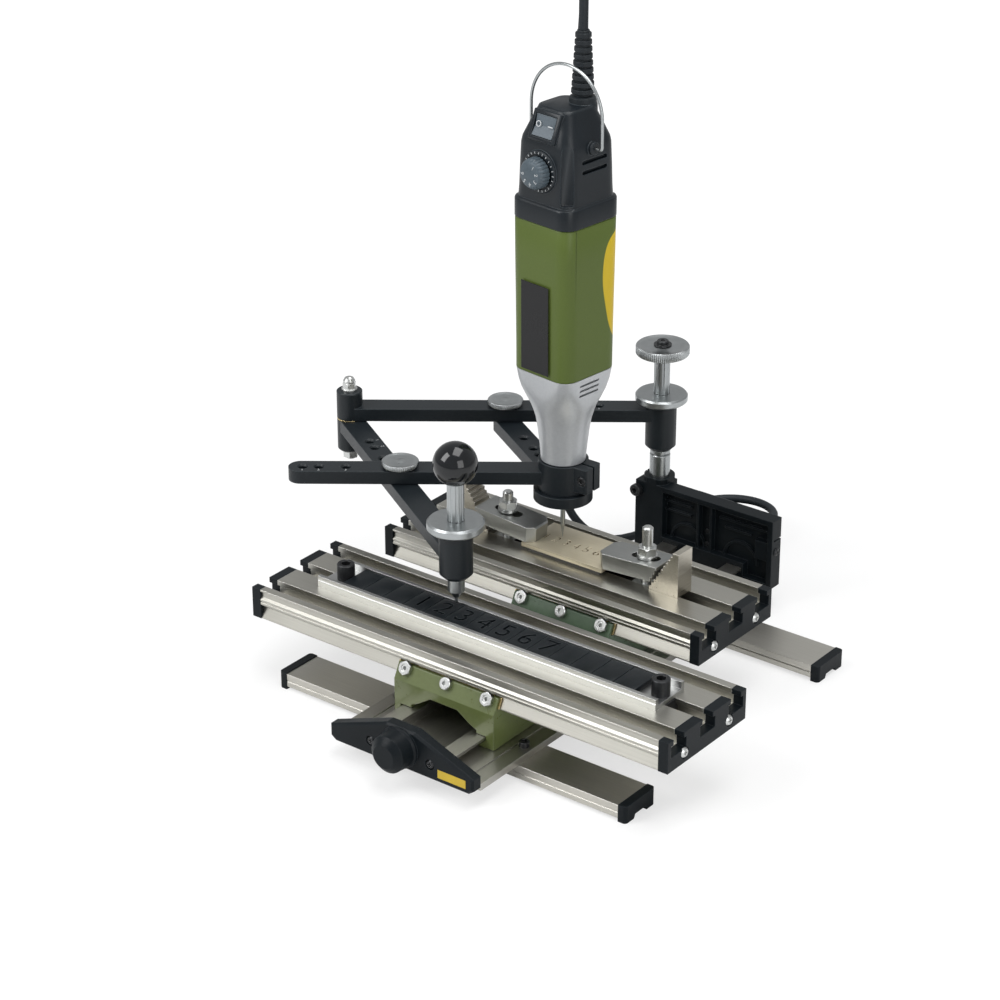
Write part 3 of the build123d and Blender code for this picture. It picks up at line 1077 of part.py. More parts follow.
def make_rear_cap():
    """The black rear cap, which holds the switch, the speed dial, the bail and the cord."""
    collar = BODY_TOP + CAP_COLLAR
    cap = loft([soft_square(BODY_TOP_HALF + 0.2, BODY_CORNER, BODY_TOP),
                soft_square(BODY_TOP_HALF + 0.1, BODY_CORNER, collar)], ruled=True)
    cap += loft([soft_square(CAP_HALF, BODY_CORNER, collar),
                 soft_square(CAP_SHOULDER_HALF, BODY_CORNER, CAP_SHOULDER)], ruled=True)
    cap += loft([soft_square(CAP_SHOULDER_HALF, BODY_CORNER, CAP_SHOULDER),
                 soft_square(CAP_TOP_HALF, BODY_CORNER, CAP_TOP)], ruled=True)
    cap -= loft([soft_square(BODY_TOP_HALF - TOOL_WALL, BODY_CORNER - 2, BODY_TOP - 1),
                 soft_square(CAP_HALF - TOOL_WALL, BODY_CORNER - 2, collar)], ruled=True)
    cap -= loft([soft_square(CAP_HALF - TOOL_WALL, BODY_CORNER - 2, collar),
                 soft_square(CAP_SHOULDER_HALF - TOOL_WALL - 2.6, BODY_CORNER - 2.5, CAP_SHOULDER - 1)],
                ruled=True)
    cap += rod((RELIEF_X, RELIEF_Y), CAP_SHOULDER - 1, CAP_TOP, RELIEF_COLLAR)
    cap -= rod((RELIEF_X, RELIEF_Y), CAP_SHOULDER - 2, CAP_TOP + 1, CORD_RADIUS + 1.2)
    pocket = Box(SWITCH_WIDTH + 1.2, SWITCH_HEIGHT + 1.2, 5.2)
    cap -= facet_place() * pocket
    for side in (-1, 1):
        guard = Pos(side * (SWITCH_WIDTH / 2 + 2.2), 0, 0.3) * Box(2.2, SWITCH_HEIGHT + 4.4, 1.6)
        cap += facet_place() * guard
    seat_y = -(CAP_HALF + CAP_SHOULDER_HALF) / 2 - DIAL_SEAT_DEPTH
    seat = aim((0, seat_y, DIAL_HEIGHT), (0, -1, 0))
    cap += seat * rod((0, 0), -DIAL_SEAT_DEPTH - 0.8, 0, DIAL_SEAT)
    cap -= seat * rod((0, 0), -8, 1, 2.0 + RUN_GAP)
    corner = (CAP_HALF - 2.2, -CAP_HALF + 2.2)
    groove = Pos(corner[0], corner[1], (collar + CAP_SHOULDER + 4) / 2) * Rot(0, 0, 45) * Box(
        CORNER_GROOVE, CORNER_GROOVE, CAP_SHOULDER + 4 - collar - 2)
    cap -= groove
    for side in (-1, 1):
        cap += Pos(side * (CAP_SHOULDER_HALF - 1.5), 0, BAIL_PIVOT) * Rot(0, 90, 0) * Cylinder(3.4, 5.6)
        cap -= Pos(side * BAIL_HALF, 0, BAIL_PIVOT) * Rot(0, 90, 0) * Cylinder(
            BAIL_WIRE + RUN_GAP, 2 * (BAIL_HALF - CAP_SHOULDER_HALF + BAIL_SEAT))
    keep("tool_rear_cap", upright(cap))


def make_switch_and_dial():
    """The rocker switch and the speed dial on the front of the rear cap."""
    rocker = extrude(Plane.YZ * Polygon(
        (-SWITCH_HEIGHT / 2, 0), (SWITCH_HEIGHT / 2, 0), (SWITCH_HEIGHT / 2, SWITCH_THICKNESS - 0.6),
        (0, SWITCH_THICKNESS - 1.4), (-SWITCH_HEIGHT / 2, SWITCH_THICKNESS), align=None),
        amount=SWITCH_WIDTH / 2, both=True)
    rocker = facet_place(-1.9) * rocker
    keep("tool_switch", upright(rocker))
    seat_y = -(CAP_HALF + CAP_SHOULDER_HALF) / 2 - DIAL_SEAT_DEPTH
    dial = turned([(0, -6), (2.0, -6), (2.0, DIAL_GAP), (DIAL_RADIUS, DIAL_GAP), (DIAL_RADIUS, 3.6),
                   (DIAL_RADIUS - 0.7, DIAL_DEPTH - 0.6), (DIAL_RADIUS - 1.3, DIAL_DEPTH), (0, DIAL_DEPTH)])
    keep("speed_dial", upright(aim((0, seat_y, DIAL_HEIGHT), (0, -1, 0)) * dial))


def make_bail():
    """The hanging wire, an arch whose bent feet turn in the rear cap's sides."""
    foot = CAP_SHOULDER_HALF - BAIL_SEAT + 1.0
    shoulder = BAIL_TOP - BAIL_HALF
    bend = 2.0
    path = Wire([Edge.make_line((-foot, 0, BAIL_PIVOT), (-BAIL_HALF + bend, 0, BAIL_PIVOT)),
                 Edge.make_tangent_arc((-BAIL_HALF + bend, 0, BAIL_PIVOT), (-1, 0, 0),
                                       (-BAIL_HALF, 0, BAIL_PIVOT + bend)),
                 Edge.make_line((-BAIL_HALF, 0, BAIL_PIVOT + bend), (-BAIL_HALF, 0, shoulder)),
                 Edge.make_three_point_arc((-BAIL_HALF, 0, shoulder), (0, 0, BAIL_TOP),
                                           (BAIL_HALF, 0, shoulder)),
                 Edge.make_line((BAIL_HALF, 0, shoulder), (BAIL_HALF, 0, BAIL_PIVOT + bend)),
                 Edge.make_tangent_arc((BAIL_HALF, 0, BAIL_PIVOT + bend), (0, 0, -1),
                                       (BAIL_HALF - bend, 0, BAIL_PIVOT)),
                 Edge.make_line((BAIL_HALF - bend, 0, BAIL_PIVOT), (foot, 0, BAIL_PIVOT))])
    section = Plane(origin=(-foot, 0, BAIL_PIVOT), z_dir=(-1, 0, 0)) * Circle(BAIL_WIRE)
    keep("tool_bail", upright(sweep(section, path)))


def make_drive():
    """The motor in the handle, its bearings, and the spindle with collet nut and cutter."""
    can_radius = BODY_HALF - TOOL_WALL - 0.3
    low = BODY_BOTTOM + 0.5
    high = low + MOTOR_LENGTH
    motor = rod((0, 0), low, high, can_radius)
    motor -= rod((0, 0), low + MOTOR_WALL, high - MOTOR_WALL, ROTOR_RADIUS + 0.6)
    motor -= rod((0, 0), low - 1, high + 1, SPINDLE_SHAFT + 0.5)
    motor -= rod((0, 0), high - MOTOR_WALL - 0.5, high + 1, BEARING_RADIUS + SEAT_GAP)
    keep("motor", upright(motor))
    front = NECK_BOTTOM + 1.0
    rear = high - BEARING_WIDTH - 0.2
    bearings = [tube((0, 0), bottom, bottom + BEARING_WIDTH, BEARING_RADIUS, SPINDLE_SHAFT + RUN_GAP)
                for bottom in (front, rear)]
    keep("tool_bearings", *[upright(bearing) for bearing in bearings])
    spindle = rod((0, 0), NECK_BOTTOM - 3.0, high + 4, SPINDLE_SHAFT)
    spindle += rod((0, 0), low + MOTOR_WALL + 1, high - MOTOR_WALL - 1, ROTOR_RADIUS)
    spindle -= rod((0, 0), NECK_BOTTOM - 4, NECK_BOTTOM + 20, BIT_RADIUS + THREAD_GAP)
    keep("tool_spindle", upright(spindle))
    nut = rod((0, 0), COLLET_BOTTOM + 1.2, NECK_BOTTOM - 0.3, COLLET_RADIUS) + turned(
        [(0, COLLET_BOTTOM), (COLLET_RADIUS - 2, COLLET_BOTTOM), (COLLET_RADIUS, COLLET_BOTTOM + 1.2),
         (0, COLLET_BOTTOM + 1.2)])
    nut -= rod((0, 0), NECK_BOTTOM - 3.0, NECK_BOTTOM + 1, SPINDLE_SHAFT + SEAT_GAP)
    nut -= rod((0, 0), COLLET_BOTTOM - 1, NECK_BOTTOM + 1, BIT_RADIUS + THREAD_GAP)
    keep("collet_nut", upright(nut))
    bit = turned([(0, BIT_TIP), (0.15, BIT_TIP), (BIT_RADIUS * 0.8, BIT_TIP + BIT_POINT),
                  (BIT_RADIUS, BIT_TIP + BIT_POINT + 1), (BIT_RADIUS, NECK_BOTTOM + 19),
                  (0, NECK_BOTTOM + 19)])
    bit -= block(0.12, 3, -3, 3, BIT_TIP - 1, BIT_TIP + BIT_POINT)
    keep("engraving_bit", upright(bit))


def make_strain_relief():
    """The tapered sleeve that guards the cord where it leaves the cap."""
    sleeve = turned([(0, CAP_TOP), (RELIEF_COLLAR - 0.4, CAP_TOP), (RELIEF_COLLAR - 0.8, RELIEF_BOTTOM),
                     (RELIEF_RADIUS, RELIEF_BOTTOM), (RELIEF_TIP_RADIUS, RELIEF_TOP), (0, RELIEF_TOP)])
    keep("strain_relief", upright(Pos(RELIEF_X, RELIEF_Y, 0) * sleeve))


# ---- mains cord: it arches over behind the tool, falls to the bench and is coiled there ----

TOOL_PLACE = Pos(TOOL[0], TOOL[1], 0) * Rot(0, 0, TOOL_TURN)
RELIEF_EXIT = (TOOL_PLACE * Pos(RELIEF_X, RELIEF_Y, RELIEF_TOP)).position
CORD_FALL = [(-27.2, 49.6, 373.0), (-32.0, 57.0, 396.0), (-44.0, 77.0, 412.0), (-60.0, 98.0, 412.0),
             (-74.0, 117.0, 394.0), (-82.0, 127.0, 364.0), (-87.0, 132.0, 326.0), (-92.0, 133.5, 282.0),
             (-96.0, 133.0, 236.0), (-99.0, 132.0, 190.0), (-101.5, 131.0, 146.0), (-102.5, 130.5, 104.0),
             (-102.0, 129.5, 68.0), (-99.5, 129.5, 42.0), (-93.0, 131.5, 21.0), (-82.0, 137.0, 8.0),
             (-70.0, 146.0, 2.6)]


def biarc(start, heading, end, leaving):
    """Two arcs from one point and heading to another, with one tangent where they meet."""
    span = end - start
    turn = heading + leaving
    spread = 4 - turn.dot(turn)
    across = span.dot(turn)
    if spread < 1e-9:
        reach = span.dot(span) / (4 * span.dot(leaving))
    else:
        reach = (-across + sqrt(across ** 2 + spread * span.dot(span))) / spread
    first = start + heading * reach
    second = end - leaving * reach
    middle = (first + second) / 2
    return [Edge.make_tangent_arc(start, heading, middle),
            Edge.make_tangent_arc(middle, second - first, end)]


def coil_stops():
    """Where each half turn of the coil ends, and which way the cord heads there."""
    step = COIL_PITCH / 2
    widest = COIL_MEAN + COIL_HALF_TURNS * step / 2
    stops = []
    for index in range(2 * COIL_HALF_TURNS + 1):
        upper = index > COIL_HALF_TURNS
        inward = index if not upper else 2 * COIL_HALF_TURNS + 1 - index
        side = -1 if index % 2 == 0 else 1
        height = CORD_RADIUS + 0.1 + (COIL_LAYER if upper else 0)
        point = Vector(COIL_X + side * (widest - inward * step), COIL_Y, height)
        stops.append((point, Vector(0, -side, 0)))
    high = stops[-1][0].Z
    lift = high + CORD_RADIUS + PLUG_THICKNESS / 2 + 0.2
    tail = Vector(COIL_X + TAIL_X, COIL_Y + TAIL_Y, high + COIL_LAYER)
    stops.append((tail, Vector(0, -1, 0)))
    stops.append((Vector(tail.X - TAIL_RADIUS, tail.Y - TAIL_RADIUS, lift), Vector(-1, 0, 0)))
    return stops


def corner_radii(points):
    """For each corner of the route, the largest bend that its two runs allow."""
    radii = []
    for before, here, after in zip(points, points[1:], points[2:]):
        arriving = here - before
        leaving = after - here
        half_turn = radians(arriving.get_angle(leaving)) / 2
        radii.append(BEND_SHARE * min(arriving.length, leaving.length) / tan(half_turn))
    return radii


def make_cord():
    """The cord's free stretch, its coil, and the plug on its end."""
    stops = coil_stops()
    entry = stops[0][0]
    route = [RELIEF_EXIT] + [Vector(*point) for point in CORD_FALL] + [entry - Vector(0, 17, 0), entry]
    radii = corner_radii(route)
    print("cord corner radii", [round(radius, 1) for radius in radii])
    path = FilletPolyline(*route, radius=radii)
    section = Plane(origin=route[0], z_dir=(0, 0, 1)) * Circle(CORD_RADIUS)
    free = sweep(section, path)
    share = free.volume / (pi * CORD_RADIUS ** 2 * path.length)
    print("cord free length", round(path.length, 1), "volume share", round(share, 4))
    keep("cord", free)
    edges = []
    for (start, heading), (end, leaving) in zip(stops, stops[1:]):
        edges += biarc(start, heading, end, leaving)
    last = stops[-1][0]
    plug_face = last + Vector(-2 * CORD_RADIUS, 0, 0)
    edges.append(Edge.make_line(last, plug_face))
    turns = Wire(edges)
    coil = sweep(Plane(origin=entry, z_dir=(0, 1, 0)) * Circle(CORD_RADIUS), turns)
    print("coil length", round(turns.length, 1), "volume share",
          round(coil.volume / (pi * CORD_RADIUS ** 2 * turns.length), 4))
    print("coil least gap", round(least_gap(turns), 2))
    keep("cord_coil", coil)
    keep("plug", make_plug(plug_face))


def least_gap(wire):
    """The least space between the coil's turns, measured between points along it."""
    count = int(wire.length / 2.0)
    points = [wire.position_at(index / count) for index in range(count + 1)]
    apart = int(8 * CORD_RADIUS / 2.0)
    least = min((points[i] - points[j]).length
                for i in range(len(points)) for j in range(i + apart, len(points)))
    return least - 2 * CORD_RADIUS


def make_plug(face):
    """The flat two pin plug that lies on the coil."""
    body = Pos(face.X - PLUG_LENGTH / 2, face.Y, face.Z) * Box(PLUG_LENGTH, PLUG_WIDTH, PLUG_THICKNESS)
    body = fillet(body.edges().filter_by(Axis.X), 4.0)
    for side in (-1, 1):
        pin = Cylinder(PIN_RADIUS, PIN_LENGTH + 4)
        middle = face.X - PLUG_LENGTH - PIN_LENGTH / 2 + 2
        body += Pos(middle, face.Y + side * PIN_SPACING / 2, face.Z) * Rot(0, 90, 0) * pin
    return body


def build_all():
    """Build every piece, in the order in which the machine goes together."""
    make_guide_rail()
    make_feet()
    make_front_plate()
    make_rear_plate()
    make_frame_screws()
    make_saddle("front_saddle", FRONT_SADDLE_Y)
    make_saddle("rear_saddle", REAR_SADDLE_Y)
    make_table("front_table", FRONT_TABLE_X, FRONT_SADDLE_Y, FRONT_TABLE_LENGTH)
    make_table("rear_table", REAR_TABLE_X, REAR_SADDLE_Y, REAR_TABLE_LENGTH)
    make_template()
    make_work()
    make_clamps()
    make_fulcrum()
    make_main_arm()
    make_thumb_screws()
    make_tracer_arm()
    make_tracer()
    make_tool_arm()
    make_link_arm()
    make_tool_nose()
    make_tool_body()
    make_rear_cap()
    make_switch_and_dial()
    make_bail()
    make_drive()
    make_strain_relief()
    make_cord()


CORD_PIECES = ("cord", "cord_coil", "plug")

build_all()

# The origin is on the bench, under the middle of the machine's footprint without its cord.
BOXES = [solid.bounding_box() for name in PARTS if name not in CORD_PIECES for solid in PARTS[name]]
MIDDLE_X = (min(box.min.X for box in BOXES) + max(box.max.X for box in BOXES)) / 2
MIDDLE_Y = (min(box.min.Y for box in BOXES) + max(box.max.Y for box in BOXES)) / 2
SHIFT = Vector(-MIDDLE_X, -MIDDLE_Y, 0)

os.makedirs("parts", exist_ok=True)
for name, solids in PARTS.items():
    moved = [Pos(SHIFT) * solid for solid in solids]
    export_step(moved[0] if len(moved) == 1 else Compound(children=moved), f"parts/{name}.step")
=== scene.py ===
import bmesh
import bpy
from math import atan2, cos, hypot, inf, pi, radians, sin, sqrt
from mathutils import Matrix, Vector


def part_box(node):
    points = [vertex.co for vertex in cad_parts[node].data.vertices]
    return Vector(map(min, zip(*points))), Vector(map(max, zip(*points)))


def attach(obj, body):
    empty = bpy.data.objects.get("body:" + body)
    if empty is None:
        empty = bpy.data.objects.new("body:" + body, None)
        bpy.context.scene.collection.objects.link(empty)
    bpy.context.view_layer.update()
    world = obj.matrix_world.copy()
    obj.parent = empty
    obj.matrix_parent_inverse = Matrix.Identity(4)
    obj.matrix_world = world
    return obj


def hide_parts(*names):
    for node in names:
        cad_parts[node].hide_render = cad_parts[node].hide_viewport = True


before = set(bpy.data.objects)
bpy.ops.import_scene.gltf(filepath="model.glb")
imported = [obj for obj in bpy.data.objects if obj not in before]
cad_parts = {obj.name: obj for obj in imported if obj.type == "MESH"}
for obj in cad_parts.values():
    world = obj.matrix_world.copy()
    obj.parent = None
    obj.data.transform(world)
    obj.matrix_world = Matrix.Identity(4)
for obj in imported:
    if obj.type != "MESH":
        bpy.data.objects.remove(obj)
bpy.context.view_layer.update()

# Sizes are in millimetres from the middle of the guide rail at bench height, as the machine's
# drawing gives them. The rail's own box says where that middle lies in the shared frame.
rail_low, rail_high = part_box("guide_rail")
FROM_DRAWING = (Matrix.Translation(((rail_low.x + rail_high.x) / 2, (rail_low.y + rail_high.y) / 2, 0))
                @ Matrix.Scale(0.001, 4))


def on_machine(x, y, z):
    return FROM_DRAWING @ Vector((x, y, z))


# ---- camera ----
# The view is over the front right corner, from about 1.6 m away.

def new_object(name, data):
    made = bpy.data.objects.new(name, data)
    bpy.context.scene.collection.objects.link(made)
    return made


camera = new_object("camera", bpy.data.cameras.new("camera"))
camera.location = on_machine(842.2, -1150.5, 802.4)
camera.rotation_euler = (radians(90 - 25.951), 0, radians(37.441))
camera.data.sensor_width = 36
camera.data.lens = 106.64
camera.data.shift_x = -0.0074
camera.data.shift_y = -0.0014
camera.data.clip_start = 0.05
camera.data.clip_end = 30
bpy.context.scene.camera = camera


# ---- surfaces: what every finish on this machine shares ----
# Sawn, extruded and moulded parts all show a fine directional grain, slow cloudy patches, and
# edges that handling has rubbed bright. Each is one node group, set differently per finish.

def feed(tree, socket, value):
    """Links a node's input to another node's output, or sets it to a plain value."""
    if isinstance(value, bpy.types.NodeSocket):
        tree.links.new(value, socket)
    elif socket.type == "RGBA":
        socket.default_value = (*value, 1)
    else:
        socket.default_value = value


def calculate(tree, kind, operation, *values):
    """Adds a calculating node and gives its outputs."""
    node = tree.nodes.new(kind)
    node.operation = operation
    for socket, value in zip(node.inputs, values):
        feed(tree, socket, value)
    return node.outputs


def maths(tree, operation, *values):
    return calculate(tree, "ShaderNodeMath", operation, *values)[0]


def spread(tree, value, low, high, start=0.3, stop=0.7):
    """Maps a value between start and stop to one between low and high."""
    node = tree.nodes.new("ShaderNodeMapRange")
    for label, limit in (("From Min", start), ("From Max", stop), ("To Min", low), ("To Max", high)):
        node.inputs[label].default_value = limit
    tree.links.new(value, node.inputs["Value"])
    return node.outputs[0]


def mix_colours(tree, amount, first, second):
    mix = tree.nodes.new("ShaderNodeMix")
    mix.data_type = "RGBA"
    for socket, value in ((mix.inputs[0], amount), (mix.inputs[6], first), (mix.inputs[7], second)):
        feed(tree, socket, value)
    return mix.outputs[2]


def place_on_object(tree):
    return tree.nodes.new("ShaderNodeTexCoord").outputs["Object"]


def new_group(name, inputs, outputs):
    group = bpy.data.node_groups.new(name, "ShaderNodeTree")
    for label, kind, value in inputs:
        group.interface.new_socket(label, in_out="INPUT", socket_type=kind).default_value = value
    for label, kind in outputs:
        group.interface.new_socket(label, in_out="OUTPUT", socket_type=kind)
    return group, group.nodes.new("NodeGroupInput").outputs, group.nodes.new("NodeGroupOutput").inputs


grain_group, grain_in, grain_out = new_group(
    "surface grain",
    [("Stretch", "NodeSocketVector", (1000, 1000, 1000)), ("Patch Scale", "NodeSocketFloat", 30.0)],
    [("Grain", "NodeSocketFloat"), ("Patches", "NodeSocketFloat")])
even = place_on_object(grain_group)
stretched = calculate(grain_group, "ShaderNodeVectorMath", "MULTIPLY", even, grain_in["Stretch"])[0]
for label, place, scale, detail in (("Grain", stretched, 1.0, 4.0),
                                    ("Patches", even, grain_in["Patch Scale"], 3.0)):
    noise = grain_group.nodes.new("ShaderNodeTexNoise")
    feed(grain_group, noise.inputs["Vector"], place)
    feed(grain_group, noise.inputs["Scale"], scale)
    feed(grain_group, noise.inputs["Detail"], detail)
    feed(grain_group, grain_out[label], noise.outputs["Fac"])

edge_group, edge_in, edge_out = new_group(
    "rubbed edges", [("Radius", "NodeSocketFloat", 0.0004)],
    [("Edge", "NodeSocketFloat"), ("Normal", "NodeSocketVector")])
LEAST_RUBBED, MOST_RUBBED = 0.985, 0.80
edge_bevel = edge_group.nodes.new("ShaderNodeBevel")
edge_bevel.samples = 6
feed(edge_group, edge_bevel.inputs["Radius"], edge_in["Radius"])
flat_normal = edge_group.nodes.new("ShaderNodeNewGeometry").outputs["True Normal"]
likeness = calculate(edge_group, "ShaderNodeVectorMath", "DOT_PRODUCT", edge_bevel.outputs[0], flat_normal)
feed(edge_group, edge_out["Edge"], spread(edge_group, likeness["Value"], 0, 1, LEAST_RUBBED, MOST_RUBBED))
feed(edge_group, edge_out["Normal"], edge_bevel.outputs[0])

GRAIN_DEPTH = 0.00005


def finish(name, colour, shade, rough, metal=0.0, stretch=(900, 900, 900), patches=30.0, relief=0.1,
           rubbed=None, radius=0.0004, rub=0.6, coat=0.0, shine=0.5):
    """A finish between two shades of one colour, its roughness range, grain and rubbed edges."""
    material = bpy.data.materials.new(name)
    material.use_nodes = True
    tree = material.node_tree
    shader = tree.nodes["Principled BSDF"]
    grain = tree.nodes.new("ShaderNodeGroup")
    grain.node_tree = grain_group
    feed(tree, grain.inputs["Stretch"], stretch)
    feed(tree, grain.inputs["Patch Scale"], patches)
    edges = tree.nodes.new("ShaderNodeGroup")
    edges.node_tree = edge_group
    feed(tree, edges.inputs["Radius"], radius)
    cloudy = maths(tree, "MULTIPLY", grain.outputs["Patches"], 0.5)
    both = maths(tree, "MULTIPLY_ADD", grain.outputs["Grain"], 0.5, cloudy)
    paint = mix_colours(tree, spread(tree, both, 0, 1, 0.35, 0.65), shade, colour)
    if rubbed:
        paint = mix_colours(tree, spread(tree, edges.outputs["Edge"], 0, rub, 0, 1), paint, rubbed)
    bump = tree.nodes.new("ShaderNodeBump")
    feed(tree, bump.inputs["Strength"], relief)
    feed(tree, bump.inputs["Distance"], GRAIN_DEPTH)
    feed(tree, bump.inputs["Height"], grain.outputs["Grain"])
    feed(tree, bump.inputs["Normal"], edges.outputs["Normal"])
    for label, value in (("Metallic", metal), ("Coat Weight", coat), ("Specular IOR Level", shine),
                         ("Base Color", paint), ("Roughness", spread(tree, both, *rough)),
                         ("Normal", bump.outputs[0])):
        feed(tree, shader.inputs[label], value)
    return material


def axes_of(tree, vector):
    """The X, Y and Z of a place or a direction."""
    axes = tree.nodes.new("ShaderNodeSeparateXYZ")
    feed(tree, axes.inputs[0], vector)
    return axes.outputs


def paint_over(material, mask, colour):
    """Lays a second colour over a finish where the mask is 1."""
    tree = material.node_tree
    base = tree.nodes["Principled BSDF"].inputs["Base Color"]
    feed(tree, base, mix_colours(tree, mask, base.links[0].from_socket, colour))


def dress(material, *nodes):
    """Gives solids carried over from the drawing their finish."""
    for name in nodes:
        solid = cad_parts[name]
        solid.data.materials.clear()
        solid.data.materials.append(material)


# ---- mains cord ----
# A round rubber cord of 5 mm. It rises out of the strain relief, arches over behind the motor tool,
# falls to the bench, and the rest is wound in two layers behind the rear end plate, with its plug on top.

FULCRUM = Vector((-36.6, 143.4))
REACH = 180.0
MAIN_TURN, TRACER_TURN = radians(-143.17), radians(-31.75)
ELBOW = FULCRUM + REACH * Vector((cos(MAIN_TURN), sin(MAIN_TURN)))
TRACER = ELBOW + REACH * Vector((cos(TRACER_TURN), sin(TRACER_TURN)))
TOOL = (FULCRUM + TRACER) / 2
TOOL_TWIST = radians(-7)
ON_TOOL = Matrix.Translation((TOOL.x, TOOL.y, 0)) @ Matrix.Rotation(TOOL_TWIST, 4, "Z")
RELIEF_X, RELIEF_Y, RELIEF_TOP = 4.0, 8.0, 351.0
CORD_RADIUS, CORD_LYING = 2.5, 2.6

cord_points = [ON_TOOL @ Vector((RELIEF_X, RELIEF_Y, RELIEF_TOP))]
cord_points += [Vector(point) for point in (
    (-27.2, 49.6, 373.0), (-32.0, 57.0, 396.0), (-44.0, 77.0, 412.0), (-60.0, 98.0, 412.0),
    (-74.0, 117.0, 394.0), (-82.0, 127.0, 364.0), (-87.0, 132.0, 326.0), (-92.0, 133.5, 282.0),
    (-96.0, 133.0, 236.0), (-99.0, 132.0, 190.0), (-101.5, 131.0, 146.0), (-102.5, 130.5, 104.0),
    (-102.0, 129.5, 68.0), (-99.5, 129.5, 42.0), (-93.0, 131.5, 21.0), (-82.0, 137.0, 8.0),
    (-70.0, 146.0, CORD_LYING))]

# The coil winds inwards on the bench, climbs one layer and winds out again. One wider half turn then
# leads up to the plug, which lies across the coil, and a quarter turn leads into it.
COIL_X, COIL_Y, COIL_RADIUS = -26.0, 195.5, 25.0
HALF_TURNS, HALF_PITCH, COIL_LAYER = 5, 3.3, 5.9
HALF_TURN_POINTS, QUARTER_TURN_POINTS = 8, 6
SMOOTHING_ALLOWANCE = 1.006
LEAD_IN = 17.0
WIDE_REACH, WIDE_SHIFT = 28.0, 8.0
QUARTER_X, QUARTER_RADIUS = 12.0, 16.3
PLUG_HALF_HEIGHT, PLUG_Y, PLUG_ENTRY_X, CORD_END_X = 7.2, COIL_Y - 8.0, COIL_X + 11.5, COIL_X + 7

widest = COIL_RADIUS + HALF_TURNS * HALF_PITCH / 2
cord_points.append(Vector((COIL_X - widest, COIL_Y - LEAD_IN, CORD_LYING)))
for step in range(2 * HALF_TURNS * HALF_TURN_POINTS + 1):
    turn = step / HALF_TURN_POINTS
    inward = min(turn, HALF_TURNS, 2 * HALF_TURNS + 1 - turn)
    climb = min(max(turn - HALF_TURNS, 0), 1)
    radius = (widest - inward * HALF_PITCH) * SMOOTHING_ALLOWANCE
    cord_points.append(Vector((COIL_X - radius * cos(turn * pi), COIL_Y + radius * sin(turn * pi),
                               CORD_LYING + climb * COIL_LAYER)))
second_layer = CORD_LYING + COIL_LAYER
third_layer = second_layer + COIL_LAYER
wound = widest - HALF_PITCH
for step in range(1, HALF_TURN_POINTS):
    turn = step / HALF_TURN_POINTS
    radius = (WIDE_REACH + wound) / 2
    cord_points.append(Vector((COIL_X + (WIDE_REACH - wound) / 2 - radius * cos(turn * pi),
                               COIL_Y + WIDE_SHIFT * turn + radius * sin(turn * pi),
                               second_layer + COIL_LAYER * turn)))
plug_height = second_layer + CORD_RADIUS + PLUG_HALF_HEIGHT
for step in range(QUARTER_TURN_POINTS):
    turn = step / QUARTER_TURN_POINTS * pi / 2
    rise = (plug_height - third_layer) * (0.5 - 0.5 * cos(2 * turn))
    cord_points.append(Vector((COIL_X + QUARTER_X + QUARTER_RADIUS * cos(turn),
                               COIL_Y + WIDE_SHIFT - QUARTER_RADIUS * sin(turn), third_layer + rise)))
cord_points += [Vector((x, PLUG_Y, plug_height)) for x in (PLUG_ENTRY_X, CORD_END_X)]

cord_line = bpy.data.curves.new("mains_cord", "CURVE")
cord_line.dimensions = "3D"
spline = cord_line.splines.new("NURBS")
spline.points.add(len(cord_points) - 1)
for knot, point in zip(spline.points, cord_points):
    knot.co = (*on_machine(*point), 1)
spline.order_u = 3
spline.use_endpoint_u = True
spline.resolution_u = 4
cord_line.bevel_depth = CORD_RADIUS / 1000
cord_line.bevel_resolution = 5
cord_line.use_fill_caps = True
cord = new_object("mains_cord", cord_line)
rubber = finish("black rubber", (0.018, 0.023, 0.027), (0.011, 0.014, 0.017), (0.42, 0.58),
                stretch=(700, 700, 700), relief=0.12, shine=0.25)
cord_line.materials.append(rubber)
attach(cord, "link_arm")
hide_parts("cord", "cord_coil")

# The plug's rubber ends where its two bare pins start.
plug_rubber = finish("plug rubber", (0.018, 0.023, 0.027), (0.011, 0.014, 0.017), (0.42, 0.55),
                     relief=0.08, rubbed=(0.06, 0.07, 0.08), radius=0.0006, shine=0.25)
tree = plug_rubber.node_tree
plug_x = axes_of(tree, place_on_object(tree))["X"]
PIN_START = COIL_X - 18.0
pins = spread(tree, plug_x, 0, 1, on_machine(PIN_START, 0, 0).x, on_machine(PIN_START - 0.1, 0, 0).x)
paint_over(plug_rubber, pins, (0.70, 0.68, 0.60))
feed(tree, tree.nodes["Principled BSDF"].inputs["Metallic"], pins)
dress(plug_rubber, "plug")


# ---- strain relief ----
# A ribbed rubber sleeve that keeps the cord from kinking where it leaves the rear cap. It tapers
# upwards, and its moulded gaps let it bend.

def settle(name, mesh, body, material, slot, *replaced, place=FROM_DRAWING, smooth=35):
    """Makes a piece of a finished bmesh, drawn in millimetres, and fixes it to its body."""
    bmesh.ops.transform(mesh, matrix=place, verts=mesh.verts)
    bmesh.ops.recalc_face_normals(mesh, faces=mesh.faces)
    for edge in mesh.edges:
        edge.smooth = len(edge.link_faces) == 2 and edge.calc_face_angle(0) < radians(smooth)
    for face in mesh.faces:
        face.smooth = True
    data = bpy.data.meshes.new(name)
    mesh.to_mesh(data)
    mesh.free()
    piece = new_object(name, data)
    data.materials.append(material)
    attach(piece, body)
    if replaced:
        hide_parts(*replaced)
    return piece


def close_holes(mesh):
    bmesh.ops.holes_fill(mesh, edges=[edge for edge in mesh.edges if len(edge.link_faces) == 1])
    return mesh


